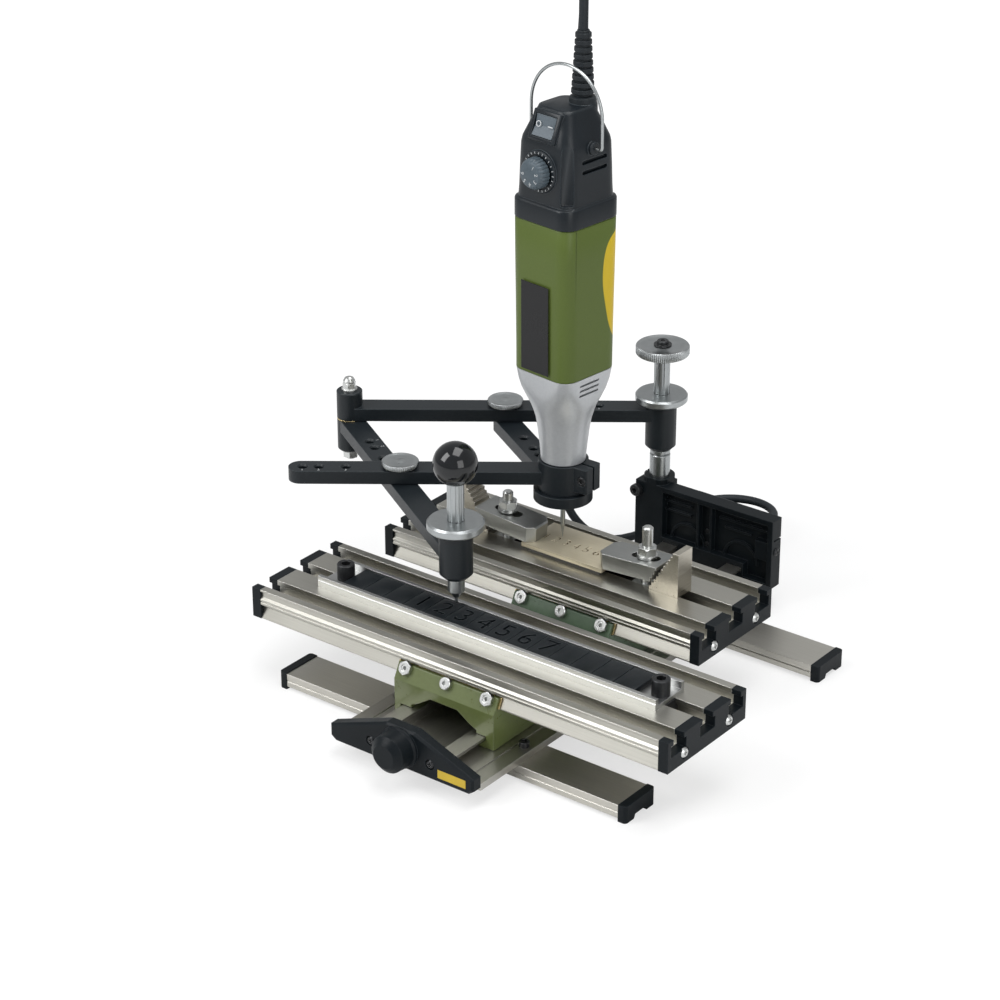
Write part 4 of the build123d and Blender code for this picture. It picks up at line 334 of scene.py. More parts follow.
def turned(profile, steps=64):
    """Spins a line of radius and height values about the Z axis, as on a lathe."""
    mesh = bmesh.new()
    line = [mesh.verts.new((radius, 0, height)) for radius, height in profile]
    edges = [mesh.edges.new(pair) for pair in zip(line, line[1:])]
    bmesh.ops.spin(mesh, geom=line + edges, cent=(0, 0, 0), axis=(0, 0, 1), angle=2 * pi, steps=steps,
                   use_merge=True)
    bmesh.ops.remove_doubles(mesh, verts=mesh.verts, dist=0.0005)
    return close_holes(mesh)


def moved(mesh, matrix):
    bmesh.ops.transform(mesh, matrix=matrix, verts=mesh.verts)
    return mesh


TOOL_PLACE = FROM_DRAWING @ ON_TOOL
AT_RELIEF = Matrix.Translation((RELIEF_X, RELIEF_Y, 0))
RELIEF_BOTTOM, FIRST_RIB, LAST_RIB, RIB_PITCH, TAPER_HEIGHT = 311.0, 316.0, 348.5, 3.75, 36.0

ribs = [(0, RELIEF_BOTTOM), (7.4, RELIEF_BOTTOM), (7.4, 312.6), (6.9, 315.0), (6.3, 315.4)]
height = FIRST_RIB
while height < LAST_RIB:
    share = (height - FIRST_RIB) / TAPER_HEIGHT
    outer, groove = 6.2 - 2.2 * share, 4.7 - 1.4 * share
    ribs += [(groove, height), (groove, height + 1.1), (outer - 0.25, height + 1.1), (outer, height + 1.4),
             (outer - 0.05, height + 3.3), (outer - 0.3, height + 3.6)]
    height += RIB_PITCH
ribs += [(3.3, height), (3.3, RELIEF_TOP - 0.3), (3.0, RELIEF_TOP), (0, RELIEF_TOP)]
settle("ribbed_strain_relief", moved(turned(ribs, 48), AT_RELIEF), "link_arm", rubber, "black_rubber",
       "strain_relief", place=TOOL_PLACE)


# ---- feet, guide rail and end plates ----
# Two drawn aluminium bars carry the rail, and moulded caps close them. The rail is an extrusion with
# lines along it. The end plates are moulded in black plastic, the front one with a yellow print.

profile_metal = finish("drawn aluminium", (0.60, 0.585, 0.535), (0.51, 0.495, 0.45), (0.34, 0.42), metal=1.0,
                       stretch=(25, 2600, 2600), patches=14, relief=0.06, rubbed=(0.78, 0.77, 0.74),
                       radius=0.0005)
rail_metal = finish("extruded rail", (0.50, 0.49, 0.455), (0.41, 0.40, 0.37), (0.32, 0.42), metal=1.0,
                    stretch=(2600, 25, 2600), patches=14, relief=0.06, rubbed=(0.78, 0.77, 0.74))
black_plastic = finish("moulded black plastic", (0.007, 0.010, 0.012), (0.004, 0.006, 0.008), (0.34, 0.46),
                       stretch=(1500, 1500, 1500), patches=60, rubbed=(0.06, 0.075, 0.085), radius=0.0006,
                       rub=0.35, shine=0.14)
black_screw = finish("blackened steel", (0.035, 0.037, 0.04), (0.02, 0.021, 0.023), (0.3, 0.42), metal=0.6,
                     rubbed=(0.25, 0.25, 0.25), radius=0.0003, rub=0.5)
zinc = finish("zinc plated steel", (0.62, 0.63, 0.62), (0.55, 0.56, 0.55), (0.26, 0.34), metal=1.0,
              stretch=(1200, 1200, 1200), relief=0.02, rubbed=(0.85, 0.85, 0.84), radius=0.0003)
dress(profile_metal, "foot_bars")
dress(rail_metal, "guide_rail")
dress(black_plastic, "foot_caps", "front_end_plate", "rear_end_plate")
dress(black_screw, "frame_screws")


def slab(x0, x1, y0, y1, z0, z1, round_off=0.0, segments=2):
    """A block with rounded edges."""
    mesh = bmesh.new()
    size = Matrix.Diagonal((x1 - x0, y1 - y0, z1 - z0, 1))
    middle = Matrix.Translation(((x0 + x1) / 2, (y0 + y1) / 2, (z0 + z1) / 2))
    bmesh.ops.create_cube(mesh, size=1, matrix=middle @ size)
    if round_off:
        bmesh.ops.bevel(mesh, geom=mesh.edges[:], offset=round_off, affect="EDGES", segments=segments,
                        profile=0.5, material=-1)
    return mesh


yellow = finish("yellow print", (0.56, 0.39, 0.014), (0.50, 0.34, 0.012), (0.35, 0.5), patches=80,
                relief=0.04)
patch = slab(24.7, 42.9, -141.62, -141.45, 12.0, 16.9, 0.05, 1)
settle("front_plate_patch", patch, "base", yellow, "black_plastic")


# ---- saddles ----
# Zinc castings, stove enamelled green. Their sloping faces hold the gib screws. Brass gibs take up
# the play in both dovetails.

olive = finish("olive enamel", (0.120, 0.150, 0.048), (0.098, 0.122, 0.038), (0.24, 0.36),
               stretch=(420, 420, 420), patches=25, relief=0.16, rubbed=(0.20, 0.235, 0.13), radius=0.0008,
               rub=0.5, coat=0.25)
teal = finish("green enamel", (0.085, 0.135, 0.082), (0.065, 0.105, 0.063), (0.24, 0.36),
              stretch=(420, 420, 420), patches=25, relief=0.16, rubbed=(0.16, 0.22, 0.15), radius=0.0008,
              rub=0.5, coat=0.25)
brass = finish("brass", (0.66, 0.52, 0.26), (0.55, 0.42, 0.20), (0.2, 0.34), metal=1.0,
               stretch=(1800, 60, 1800), patches=40, relief=0.06, rubbed=(0.85, 0.72, 0.45), radius=0.0003)
dress(olive, "front_saddle")
dress(teal, "rear_saddle")
dress(brass, "front_saddle_gibs", "rear_saddle_gibs")
dress(zinc, "front_saddle_screws", "rear_saddle_screws")


# ---- tables ----
# Extruded slotted tables with a satin finish; die lines run along them. Moulded black caps close
# both ends, each held by two screws.

table_metal = finish("satin table extrusion", (0.50, 0.49, 0.445), (0.42, 0.41, 0.37), (0.32, 0.40),
                     metal=1.0, stretch=(18, 2400, 2400), patches=10, relief=0.07, rubbed=(0.80, 0.79, 0.75),
                     rub=0.8)
dress(table_metal, "front_table", "rear_table")
dress(black_plastic, "front_table_caps", "rear_table_caps")
dress(zinc, "front_table_cap_screws", "rear_table_cap_screws")


# ---- template rail and tiles ----
# A bright aluminium channel holds black plastic tiles. Seven of them are cut with figures that the
# stylus follows; the rest are blanks.

def join(*meshes):
    """Puts several bmeshes into the first."""
    whole = meshes[0]
    for other in meshes[1:]:
        data = bpy.data.meshes.new("part")
        other.to_mesh(data)
        whole.from_mesh(data)
        other.free()
        bpy.data.meshes.remove(data)
    return whole


def as_mesh(thing):
    """The mesh of an object with its modifiers applied."""
    return bpy.data.meshes.new_from_object(thing.evaluated_get(bpy.context.evaluated_depsgraph_get()))


def carve(mesh, cutter, operation="DIFFERENCE"):
    """Cuts one closed bmesh out of another, as a cutter or an engraving bit does."""
    pair = []
    for name, source in (("blank", mesh), ("cutter", cutter)):
        data = bpy.data.meshes.new(name)
        bmesh.ops.recalc_face_normals(source, faces=source.faces)
        source.to_mesh(data)
        source.free()
        pair.append(new_object(name, data))
    cut = pair[0].modifiers.new("cut", "BOOLEAN")
    cut.operation = operation
    cut.solver = "EXACT"
    cut.use_self = True
    cut.object = pair[1]
    result = as_mesh(pair[0])
    carved = bmesh.new()
    carved.from_mesh(result)
    for thing in pair:
        data = thing.data
        bpy.data.objects.remove(thing)
        bpy.data.meshes.remove(data)
    bpy.data.meshes.remove(result)
    return carved


FONT_SIZE_TO_HEIGHT = 1.4


def figures(text, height, depth, matrix=Matrix.Identity(4)):
    """Solid figures, centred, standing up by their depth from the plane Z 0."""
    words = bpy.data.curves.new("figures", "FONT")
    words.body = text
    words.size = height * FONT_SIZE_TO_HEIGHT
    words.align_x = "CENTER"
    words.align_y = "CENTER"
    words.extrude = depth / 2
    words.resolution_u = 4
    sign = new_object("figures", words)
    data = as_mesh(sign)
    mesh = bmesh.new()
    mesh.from_mesh(data)
    bpy.data.objects.remove(sign)
    bpy.data.curves.remove(words)
    bpy.data.meshes.remove(data)
    bmesh.ops.remove_doubles(mesh, verts=mesh.verts, dist=0.0001)
    return moved(mesh, matrix @ Matrix.Translation((0, 0, depth / 2)))


channel_metal = finish("bright channel", (0.52, 0.525, 0.52), (0.46, 0.465, 0.46), (0.28, 0.36), metal=1.0,
                       stretch=(18, 2600, 2600), patches=12, relief=0.04, rubbed=(0.88, 0.88, 0.87),
                       radius=0.0003)
tile_plastic = finish("tile plastic", (0.008, 0.011, 0.013), (0.005, 0.007, 0.009), (0.30, 0.44),
                      stretch=(1300, 1300, 1300), patches=90, relief=0.08, rubbed=(0.13, 0.15, 0.16),
                      shine=0.22)
dress(channel_metal, "template_rail")
dress(black_screw, "template_bolts")

TILE_COUNT, TILE_PITCH, TILE_Y = 14, 13.8, -66.6
TILE_HALF_WIDTH, TILE_HALF_DEPTH, TILE_FLOOR, TILE_TOP = 6.78, 10.3, 56.9, 60.4
FIRST_TILE = 4.0 - (TILE_COUNT - 1) * TILE_PITCH / 2
FIRST_FIGURE, FIGURE_COUNT = 3, 7
tiles = bmesh.new()
for index in range(TILE_COUNT):
    middle = FIRST_TILE + index * TILE_PITCH
    tile = slab(middle - TILE_HALF_WIDTH, middle + TILE_HALF_WIDTH, TILE_Y - TILE_HALF_DEPTH,
                TILE_Y + TILE_HALF_DEPTH, TILE_FLOOR, TILE_TOP, 0.45, 2)
    if FIRST_FIGURE <= index < FIRST_FIGURE + FIGURE_COUNT:
        cut_floor = Matrix.Translation((middle, TILE_Y, TILE_TOP - 1.5))
        tile = carve(tile, figures(str(index - FIRST_FIGURE + 1), 13.0, 3.0, cut_floor))
    join(tiles, tile)
settle("template_figures", tiles, "front_table", tile_plastic, "black_plastic", "template_tiles")


# ---- work piece and clamps ----
# A brass plate on a packing sheet, with the figures cut at half size. Ground steel clamp bars hold
# it down, on saw-toothed step blocks, with zinc plated studs and nuts.

clamp_steel = finish("ground steel", (0.44, 0.45, 0.44), (0.37, 0.38, 0.37), (0.30, 0.40), metal=1.0,
                     stretch=(60, 1800, 1800), patches=40, relief=0.05, rubbed=(0.75, 0.75, 0.73),
                     radius=0.0005)
step_steel = finish("sawn steel", (0.56, 0.53, 0.46), (0.44, 0.41, 0.35), (0.24, 0.40), metal=1.0,
                    stretch=(900, 60, 900), patches=50, relief=0.05, rubbed=(0.85, 0.83, 0.78))
packing = finish("packing sheet", (0.10, 0.10, 0.095), (0.07, 0.07, 0.066), (0.5, 0.65), relief=0.2)
dress(clamp_steel, "clamp_bars")
dress(step_steel, "step_blocks")
dress(zinc, "clamp_bolts")
dress(packing, "packing_plate")

PLATE_TOP = 58.5
plate = slab(-47.6, 7.6, 24.1, 55.1, 56.0, PLATE_TOP, 0.35, 2)
for index in range(FIGURE_COUNT):
    middle = TOOL.x + (FIRST_TILE + (index + FIRST_FIGURE) * TILE_PITCH - TRACER.x) / 2
    cut_floor = Matrix.Translation((middle, TOOL.y + (TILE_Y - TRACER.y) / 2, PLATE_TOP - 0.4))
    plate = carve(plate, figures(str(index + 1), 6.5, 1.0, cut_floor))
polished_brass = finish("polished brass", (0.62, 0.56, 0.42), (0.56, 0.50, 0.36), (0.30, 0.38), metal=0.55,
                        stretch=(40, 2200, 2200), patches=60, relief=0.03, rubbed=(0.95, 0.88, 0.7),
                        radius=0.0003)
# The floors of the cuts, which face up from just below the plate's top, are painted dark: painted shade in
# the engraved figures.
tree = polished_brass.node_tree
below_top = spread(tree, axes_of(tree, place_on_object(tree))["Z"], 0, 1,
                   (PLATE_TOP - 0.05) / 1000, (PLATE_TOP - 0.15) / 1000)
plate_normal = tree.nodes.new("ShaderNodeNewGeometry").outputs["True Normal"]
facing_up = spread(tree, axes_of(tree, plate_normal)["Z"], 0, 1, 0.2, 0.6)
paint_over(polished_brass, maths(tree, "MULTIPLY", below_top, facing_up), (0.12, 0.08, 0.03))
settle("engraved_plate", plate, "rear_table", polished_brass, "brass", "work_plate")


# ---- column and fulcrum ----
# A ground steel column with a fluted screw spindle in it. A knurled hand wheel on top lifts the arms,
# which hang between a turned collar and a disc.

bright_steel = finish("turned steel", (0.42, 0.44, 0.445), (0.36, 0.38, 0.385), (0.27, 0.34), metal=1.0,
                      stretch=(300, 300, 2600), patches=50, relief=0.03, rubbed=(0.8, 0.81, 0.81),
                      radius=0.0003)
dress(bright_steel, "column", "fulcrum_spindle")
dress(black_screw, "fulcrum_wheel_screw")


def press_rim(mesh, inner, depth_at, top=inf):
    """Presses the rim of a turned mesh in, by a depth that depends on the angle."""
    for vert in mesh.verts:
        reach = hypot(vert.co.x, vert.co.y)
        if reach > inner and vert.co.z < top:
            depth = depth_at(atan2(vert.co.y, vert.co.x))
            vert.co.x -= vert.co.x / reach * depth
            vert.co.y -= vert.co.y / reach * depth
    return mesh


def knurled(radius, low, high, teeth, depth, bevel, bore=0.0, dish=0.0):
    """A disc with a straight knurl: a spun blank whose rim is pressed in between the teeth."""
    profile = [(bore, low), (radius - bevel, low), (radius, low + bevel), (radius, high - bevel),
               (radius - bevel, high), (radius - bevel - 0.8, high), (radius - bevel - 1.3, high - dish),
               (bore + 2.2, high - dish), (bore + 1.6, high), (bore, high)]
    return press_rim(turned(profile, teeth * 4), radius - 0.01,
                     lambda angle: depth * (0.5 - 0.5 * cos(angle * teeth)))


RING_BORE, DISC_FOOT = 4.7, 105.7


def ring(radius, low, high, inward, foot, head):
    """A turned ring round a shaft, with its lower and upper outer edges bevelled."""
    return turned([(RING_BORE, low), (radius - inward, low), (radius, low + foot), (radius, high - head),
                   (radius - inward, high), (RING_BORE, high), (RING_BORE, low)])


def over(point, height=0.0):
    return FROM_DRAWING @ Matrix.Translation((point.x, point.y, height))


settle("knurled_hand_wheel", knurled(15.5, 135.1, 140.4, 80, 0.5, 0.6, 2.05, 0.3), "fulcrum_spindle",
       bright_steel, "bright_steel", "fulcrum_wheel", place=over(FULCRUM))
settle("fulcrum_disc_and_collar",
       join(ring(15.15, DISC_FOOT, 110.5, 0.95, 0.9, 1.0), ring(5.9, 72.8, 75.3, 0.3, 0.3, 0.3)),
       "fulcrum_discs", bright_steel, "bright_steel", "fulcrum_discs", place=over(FULCRUM))


# ---- arms ----
# Four flat bars of aluminium, anodised black. Sunk holes along them set the scale. Two knurled thumb
# screws and a bolt join them.

anodised = finish("black anodised", (0.010, 0.014, 0.017), (0.006, 0.009, 0.012), (0.34, 0.48),
                  stretch=(1100, 1100, 1100), relief=0.07, rubbed=(0.08, 0.10, 0.11), radius=0.0006, rub=0.5,
                  shine=0.32)
dress(anodised, "main_arm", "tracer_arm", "tool_arm", "link_arm")
dress(zinc, "pivot_bolt", "pivot_ring")
dress(brass, "pivot_spacer")
dress(black_screw, "tool_clamp_screw")

for name, point in (("main_thumbscrew", (FULCRUM + ELBOW) / 2), ("link_thumbscrew", (ELBOW + TRACER) / 2)):
    head = knurled(10.35, 103.3, 106.0, 60, 0.4, 0.4, 0.0, 0.35)
    pin = turned([(0, 85.2), (2.6, 85.2), (3.0, 85.6), (3.0, 102.3), (5.0, 102.4), (5.0, 103.4), (0, 103.4)])
    settle("knurled_" + name, join(head, pin), name, bright_steel, "bright_steel", name, place=over(point))

white = finish("white print", (0.62, 0.64, 0.65), (0.55, 0.57, 0.58), (0.4, 0.5), relief=0.02)


def scale_marks(name, start, turn, distances, height, body):
    """The figures beside the scale holes, printed on the arm's upper face."""
    marks = bmesh.new()
    for number, distance in enumerate(distances):
        spot = start + distance * Vector((cos(turn), sin(turn)))
        lean = Matrix.Translation((spot.x, spot.y, height)) @ Matrix.Rotation(turn + pi, 4, "Z")
        join(marks, figures(str(number + 1), 2.0, 0.06, lean @ Matrix.Translation((0, -4.6, -0.01))))
    settle(name, marks, body, white, "arm_aluminium")


SCALE_HOLES = (36.0, 45.0, 60.0)
UPPER_ARM_TOP, LOWER_ARM_TOP = 102.1, 94.2
scale_marks("link_arm_figures", TOOL, MAIN_TURN, [REACH - hole for hole in SCALE_HOLES], UPPER_ARM_TOP,
            "link_arm")
scale_marks("main_arm_figures", FULCRUM, MAIN_TURN, SCALE_HOLES, UPPER_ARM_TOP, "main_arm")
scale_marks("tracer_arm_figures", ELBOW, TRACER_TURN, SCALE_HOLES, LOWER_ARM_TOP, "tracer_arm")


# ---- tracer ----
# The hand guide: a black ball on a fluted steel shaft, a stop disc, and a thin stylus in a cone.

gloss_black = finish("ball plastic", (0.005, 0.006, 0.008), (0.003, 0.004, 0.005), (0.06, 0.12),
                     stretch=(300, 300, 300), relief=0.02)
dress(bright_steel, "tracer_spindle", "stylus_pin")
BALL_HEIGHT, BALL_RADIUS, BALL_FLAT = 143.6, 12.0, -10.78
ball = bmesh.new()
bmesh.ops.create_uvsphere(ball, u_segments=64, v_segments=40, radius=BALL_RADIUS)
bmesh.ops.bisect_plane(ball, geom=ball.verts[:] + ball.edges[:] + ball.faces[:], plane_co=(0, 0, BALL_FLAT),
                       plane_no=(0, 0, -1), clear_outer=True)
settle("tracer_ball_handle", close_holes(ball), "tracer", gloss_black, "black_plastic", "tracer_ball",
       place=over(TRACER, BALL_HEIGHT), smooth=60)
settle("tracer_stop_disc", ring(15.5, DISC_FOOT, 111.1, 1.1, 1.1, 1.1), "tracer", bright_steel,
       "bright_steel", "tracer_disc", place=over(TRACER))


# ---- motor tool ----
# A slim grinder, clamped by its neck. The nose is die cast, the handle is moulded in green plastic
# with a yellow inlay, and the rear cap in black holds the switch, the speed dial and the hanging wire.

def soft_ring(half, corner, turn):
    """Where a ray at an angle meets a square with round corners."""
    x, y = abs(cos(turn)), abs(sin(turn))
    inner = half - corner
    if half / max(x, y) * min(x, y) <= inner:
        reach = half / max(x, y)
    else:
        along = inner * (x + y)
        reach = along + sqrt(max(along * along - 2 * inner * inner + corner * corner, 0))
    return reach * cos(turn), reach * sin(turn)


def housing(rings, sides=96):
    """A housing drawn up ring by ring, each half a width, a corner radius and a height."""
    mesh = bmesh.new()
    bmesh.ops.create_circle(mesh, cap_ends=False, segments=sides, radius=1.0)
    loop = list(mesh.edges)
    for number, (half, corner, height) in enumerate(rings):
        if number:
            grown = bmesh.ops.extrude_edge_only(mesh, edges=loop)["geom"]
            loop = [part for part in grown
                    if isinstance(part, bmesh.types.BMEdge) and len(part.link_faces) == 1]
        for vert in {vert for edge in loop for vert in edge.verts}:
            vert.co.x, vert.co.y = soft_ring(half, corner, atan2(vert.co.y, vert.co.x))
            vert.co.z = height
    return close_holes(mesh)


NECK_BOTTOM, HUB_TOP, BODY_BOTTOM = 85.2, 108.0, 163.4
cast_grey = finish("cast grey", (0.50, 0.515, 0.53), (0.44, 0.455, 0.47), (0.28, 0.38), metal=0.35,
                   stretch=(700, 700, 700), patches=40, rubbed=(0.6, 0.61, 0.62), radius=0.0005, coat=0.2)
nose = housing([(10.0, 10.0, NECK_BOTTOM), (10.0, 10.0, HUB_TOP), (12.0, 12.0, HUB_TOP), (12.5, 12.5, 108.5),
                (12.7, 12.7, 112.0), (13.4, 13.4, 119.0), (14.2, 14.2, 126.0), (15.4, 15.4, 133.6),
                (16.9, 16.9, 138.6), (18.3, 18.0, 142.6), (19.3, 16.0, 147.0), (19.9, 12.0, 152.0),
                (20.3, 9.5, 157.0), (20.6, 8.2, 162.0), (20.7, 8.0, BODY_BOTTOM)])
for height in (153.5, 156.5, 159.5):
    for side in (1, -1):
        nose = carve(nose, slab(side * 20 - 3, side * 20 + 3, -9.0, 6.0, height - 0.6, height + 0.6, 0.3, 1))
settle("cast_nose", nose, "link_arm", cast_grey, "tool_grey", "tool_nose", place=TOOL_PLACE, smooth=40)

# The inlay lies on the handle's right side. Its edge runs in a bow from the back at both ends to
# the middle of the side, in the tool's own millimetres.
green = finish("green handle plastic", (0.098, 0.135, 0.030), (0.086, 0.120, 0.026), (0.30, 0.42),
               stretch=(1600, 1600, 1600), patches=18, relief=0.09, rubbed=(0.15, 0.19, 0.08), radius=0.0006,
               rub=0.3, shine=0.2)
INLAY_BOTTOM, INLAY_TOP, INLAY_FRONT, INLAY_BACK, RIGHT_SIDE = 170, 250, -12, 28, 17
tree = green.node_tree
inlay_turn = tree.nodes.new("ShaderNodeMapping")
inlay_turn.vector_type = "TEXTURE"
for label, value in (("Vector", place_on_object(tree)), ("Location", TOOL_PLACE.translation),
                     ("Rotation", (0, 0, TOOL_TWIST)), ("Scale", (0.001, 0.001, 0.001))):
    feed(tree, inlay_turn.inputs[label], value)
inlay_axes = axes_of(tree, inlay_turn.outputs[0])
inlay_edge = tree.nodes.new("ShaderNodeFloatCurve")
curve = inlay_edge.mapping.curves[0]
for position, value in ((0.10, 0.95), (0.16, 0.70), (0.40, 0.53), (0.66, 0.47), (0.84, 0.56), (0.97, 0.95)):
    curve.points.new(position, value)
curve.points[0].location = (0, 1)
curve.points[-1].location = (1, 1)
inlay_edge.mapping.update()
feed(tree, inlay_edge.inputs["Value"], spread(tree, inlay_axes["Z"], 0, 1, INLAY_BOTTOM, INLAY_TOP))
inlay_side = spread(tree, inlay_axes["Y"], 0, 1, INLAY_FRONT, INLAY_BACK)
beyond = maths(tree, "SUBTRACT", inlay_side, inlay_edge.outputs[0])
on_right = maths(tree, "GREATER_THAN", inlay_axes["X"], RIGHT_SIDE)
inlay_mask = maths(tree, "MULTIPLY", spread(tree, beyond, 0, 1, 0.0, 0.012), on_right)
paint_over(green, inlay_mask, (0.60, 0.43, 0.02))
handle = housing([(20.3, 7.6, BODY_BOTTOM), (20.75, 8.0, 163.9), (20.8, 8.0, 180.0), (21.0, 8.0, 205.0),
                  (21.25, 8.0, 230.0), (21.35, 8.0, 249.8), (20.9, 7.6, 250.4)])
handle = carve(handle, join(slab(-25, -20.9, -0.3, 0.3, 160, 255), slab(20.95, 25, -14.4, -13.8, 160, 255)))
settle("green_handle", handle, "link_arm", green, "tool_green", "tool_body", place=TOOL_PLACE, smooth=40)
plate_black = finish("black label", (0.005, 0.005, 0.006), (0.004, 0.004, 0.005), (0.2, 0.3), relief=0.02,
                     shine=0.3)
label = slab(-11.2, 8.8, -21.02, -20.7, 166.0, 217.0, 0.1, 1)
settle("blank_label", moved(label, Matrix.Rotation(radians(0.35), 4, "X")), "link_arm", plate_black,
       "tool_black", place=TOOL_PLACE)

cap_black = finish("rear cap plastic", (0.010, 0.014, 0.018), (0.006, 0.009, 0.012), (0.28, 0.40),
                   stretch=(1500, 1500, 1500), patches=40, rubbed=(0.08, 0.10, 0.115), radius=0.0007, rub=0.5,
                   shine=0.3)
ON_FACET = Matrix.Translation((0, -15.55, 303)) @ Matrix.Rotation(radians(69.6), 4, "X")
ON_FRONT = Matrix.Translation((0, -19.3, 279.5)) @ Matrix.Rotation(radians(90), 4, "X")
TICK_COUNT, BAIL_X, BAIL_HEIGHT = 24, 18.9, 292
cap = housing([(21.0, 7.8, 250.5), (21.5, 8.0, 250.9), (21.5, 8.0, 260.6), (21.2, 7.8, 261.4),
               (19.9, 7.4, 262.2), (19.6, 7.4, 268.0), (19.3, 7.4, 280.0), (18.9, 7.4, 292.0),
               (18.4, 7.4, 295.0), (15.8, 7.0, 302.0), (12.9, 6.6, 309.6), (12.1, 6.4, 311.6),
               (11.0, 6.0, 312.2)])
cap = carve(cap, moved(slab(-9.6, 9.6, -8.2, 8.2, -3.0, 1.6, 0.8, 2), ON_FACET), "UNION")
cap = carve(cap, moved(slab(-7.4, 7.4, -6.1, 6.1, -2.9, 4.0, 0.2, 1), ON_FACET))
for height in (279.0, 284.5):
    cap = carve(cap, slab(16.5, 25, -8.0, 11.0, height, height + 2.2, 0.5, 2))
on_corner = Matrix.Translation((18.3, -18.3, 0)) @ Matrix.Rotation(radians(45), 4, "Z")
cap = carve(cap, moved(slab(-3.4, 3.4, -3.4, 3.4, 263.5, 300, 0.8, 2), on_corner))
for side in (-1, 1):
    lug = turned([(0, -3.0), (3.6, -3.0), (3.6, 1.6), (3.0, 2.2), (1.1, 2.2), (1.1, 1.0), (0, 1.0)], 40)
    outwards = Matrix.Rotation(side * radians(90), 4, "Y")
    join(cap, moved(lug, Matrix.Translation((side * BAIL_X, 0, BAIL_HEIGHT)) @ outwards))
collar = turned([(0, 300), (8.2, 300), (7.9, 311.0), (7.4, 312.4), (6.6, 312.8), (0, 312.8)], 48)
seat = turned([(0, -1.0), (11.6, -1.0), (11.6, 1.0), (11.0, 1.6), (9.4, 1.6), (9.4, 1.0), (0, 1.0)], 72)
settle("rear_cap", join(cap, moved(collar, AT_RELIEF), moved(seat, ON_FRONT)), "link_arm", cap_black,
       "tool_black", "tool_rear_cap", place=TOOL_PLACE, smooth=40)
tick_turns = [Matrix.Rotation(number * 2 * pi / TICK_COUNT, 4, "Z") for number in range(TICK_COUNT)]
ticks = [moved(slab(9.7, 10.9, -0.18, 0.18, 1.55, 1.72), tick_turn) for tick_turn in tick_turns]
settle("dial_marks", moved(join(*ticks), ON_FRONT), "link_arm", white, "tool_black", place=TOOL_PLACE)

switch_grey = finish("switch plastic", (0.10, 0.125, 0.145), (0.08, 0.10, 0.118), (0.28, 0.4), relief=0.05,
                     rubbed=(0.3, 0.34, 0.37), radius=0.0005, rub=0.4)
dress(switch_grey, "tool_switch")
signs = join(figures("O", 3.4, 0.2, Matrix.Translation((-4.2, 0.4, 0))), slab(2.6, 5.8, 0.1, 0.7, 0, 0.2))
on_switch = ON_FACET @ Matrix.Translation((0, 0, 1.16)) @ Matrix.Rotation(radians(4.2), 4, "X")
settle("switch_signs", moved(signs, on_switch), "tool_switch", white, "switch_grey", place=TOOL_PLACE)

dial_grey = finish("dial plastic", (0.075, 0.10, 0.12), (0.055, 0.075, 0.09), (0.35, 0.48), relief=0.12,
                   rubbed=(0.2, 0.22, 0.24), radius=0.0003, rub=0.5, shine=0.3)
KNOB_TOP = 8.6
knob = turned([(0, 1.9), (8.5, 1.9), (8.5, 5.2), (8.2, 6.6), (7.0, 8.2), (6.4, KNOB_TOP), (0, KNOB_TOP)], 96)
press_rim(knob, 8.0, lambda angle: 0.5 * max(0.0, cos(angle * TICK_COUNT)) ** 2, 6.8)
settle("dial_knob", moved(knob, ON_FRONT), "speed_dial", dial_grey, "tool_black", "speed_dial",
       place=TOOL_PLACE)
numbers = bmesh.new()
for number in range(6):
    turn = radians(60 - 48 * number)
    spot = Matrix.Translation((4.9 * cos(turn), 4.9 * sin(turn), KNOB_TOP - 0.05))
    upright = Matrix.Rotation(turn - pi / 2, 4, "Z")
    join(numbers, figures(str(number + 1), 2.3, 0.12, spot @ upright))
settle("dial_figures", moved(numbers, ON_FRONT), "speed_dial", white, "tool_black", place=TOOL_PLACE)

dress(bright_steel, "tool_bail", "tool_spindle", "collet_nut", "engraving_bit", "tool_bearings", "motor")


# ---- bench and light ----
# A white bench top under soft light from large lamps, in front of a white wall.

def mix_shaders(tree, amount, first, second, output):
    """Shows the second shader in place of the first, by an amount."""
    mix = tree.nodes.new("ShaderNodeMixShader")
    for socket, value in zip(mix.inputs, (amount, first, second)):
        feed(tree, socket, value)
    feed(tree, tree.nodes[output].inputs["Surface"], mix.outputs[0])


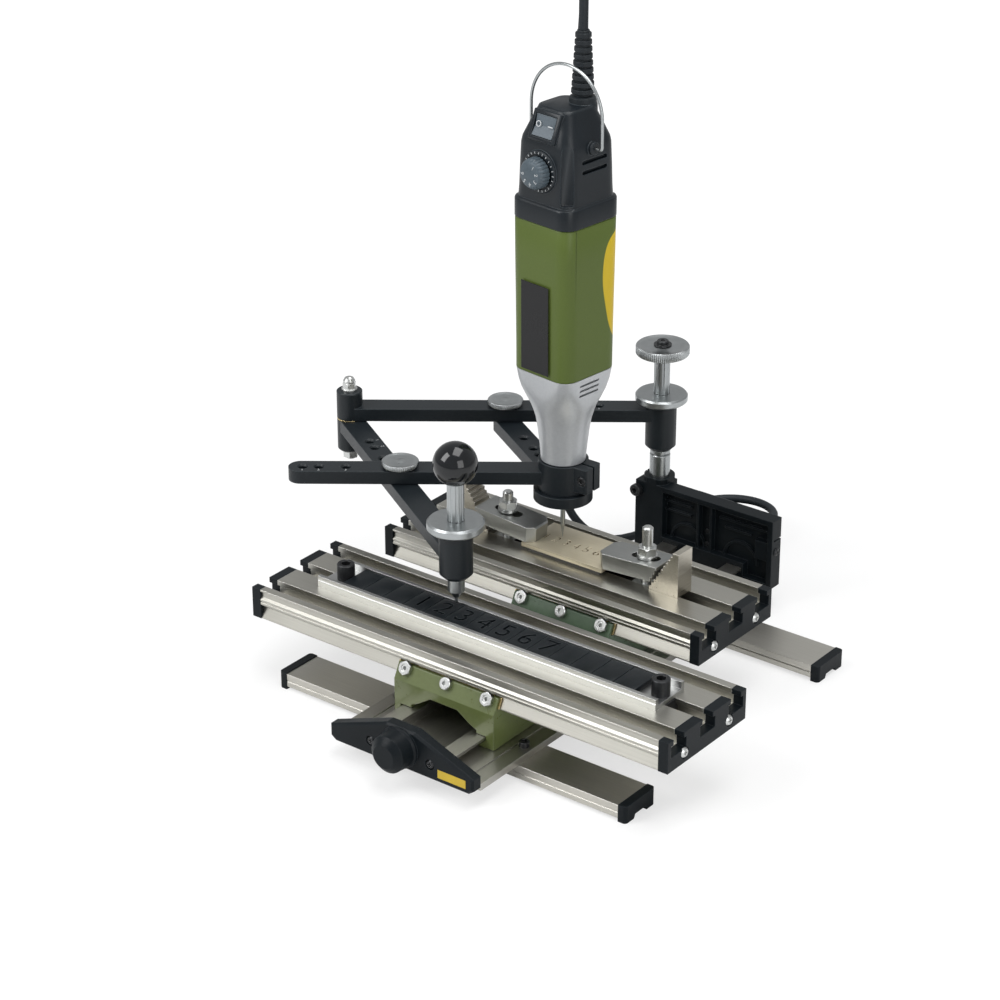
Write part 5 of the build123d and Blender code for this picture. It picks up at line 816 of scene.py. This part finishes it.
bench = bmesh.new()
bmesh.ops.create_grid(bench, x_segments=2, y_segments=2, size=6.0)
bench_mesh = bpy.data.meshes.new("bench_top")
bench.to_mesh(bench_mesh)
bench.free()
bench_top = new_object("bench_top", bench_mesh)
pale = bpy.data.materials.new("white bench")
pale.use_nodes = True
tree = pale.node_tree
surface = tree.nodes["Principled BSDF"]
for label, value in (("Base Color", (0.86, 0.86, 0.86)), ("Roughness", 0.8), ("Specular IOR Level", 0.1)):
    feed(tree, surface.inputs[label], value)
glow = tree.nodes.new("ShaderNodeEmission")
feed(tree, glow.inputs["Strength"], 1.1)
from_middle = calculate(tree, "ShaderNodeVectorMath", "LENGTH", place_on_object(tree))["Value"]
whiten = spread(tree, from_middle, 0.58, 1.0, 0.22, 0.60)
camera_sees = tree.nodes.new("ShaderNodeLightPath").outputs["Is Camera Ray"]
mix_shaders(tree, maths(tree, "MULTIPLY", camera_sees, whiten), surface.outputs[0], glow.outputs[0],
            "Material Output")
bench_mesh.materials.append(pale)

world = bpy.data.worlds.new("studio")
bpy.context.scene.world = world
world.use_nodes = True
tree = world.node_tree
sky = tree.nodes["Background"]
feed(tree, sky.inputs["Color"], (0.97, 0.985, 1))
feed(tree, sky.inputs["Strength"], 0.32)
white_wall = tree.nodes.new("ShaderNodeBackground")
feed(tree, white_wall.inputs["Strength"], 1.0)
MIRRORED_WALL = 0.35
seen = tree.nodes.new("ShaderNodeLightPath").outputs
directly = maths(tree, "MAXIMUM", seen["Is Camera Ray"], seen["Is Transmission Ray"])
mix_shaders(tree, maths(tree, "MULTIPLY_ADD", seen["Is Glossy Ray"], MIRRORED_WALL, directly),
            sky.outputs[0], white_wall.outputs[0], "World Output")


def lamp(name, place, target, size, power):
    """A large soft lamp that points at a target."""
    data = bpy.data.lights.new(name, "AREA")
    data.shape = "RECTANGLE"
    data.size, data.size_y = size
    data.energy = power
    light = new_object(name, data)
    light.location = place
    light.rotation_mode = "QUATERNION"
    light.rotation_quaternion = (Vector(target) - Vector(place)).to_track_quat("-Z", "Y")


lamp("left_lamp", (-0.9, -1.3, 1.4), (0, 0, 0.12), (0.9, 1.4), 24)
lamp("right_lamp", (1.5, -0.7, 0.7), (0, 0, 0.1), (0.9, 1.1), 8)
lamp("top_lamp", (0.25, 0.1, 1.8), (0, 0, 0.05), (1.5, 1.0), 20)
bpy.context.scene.view_settings.view_transform = "Standard"
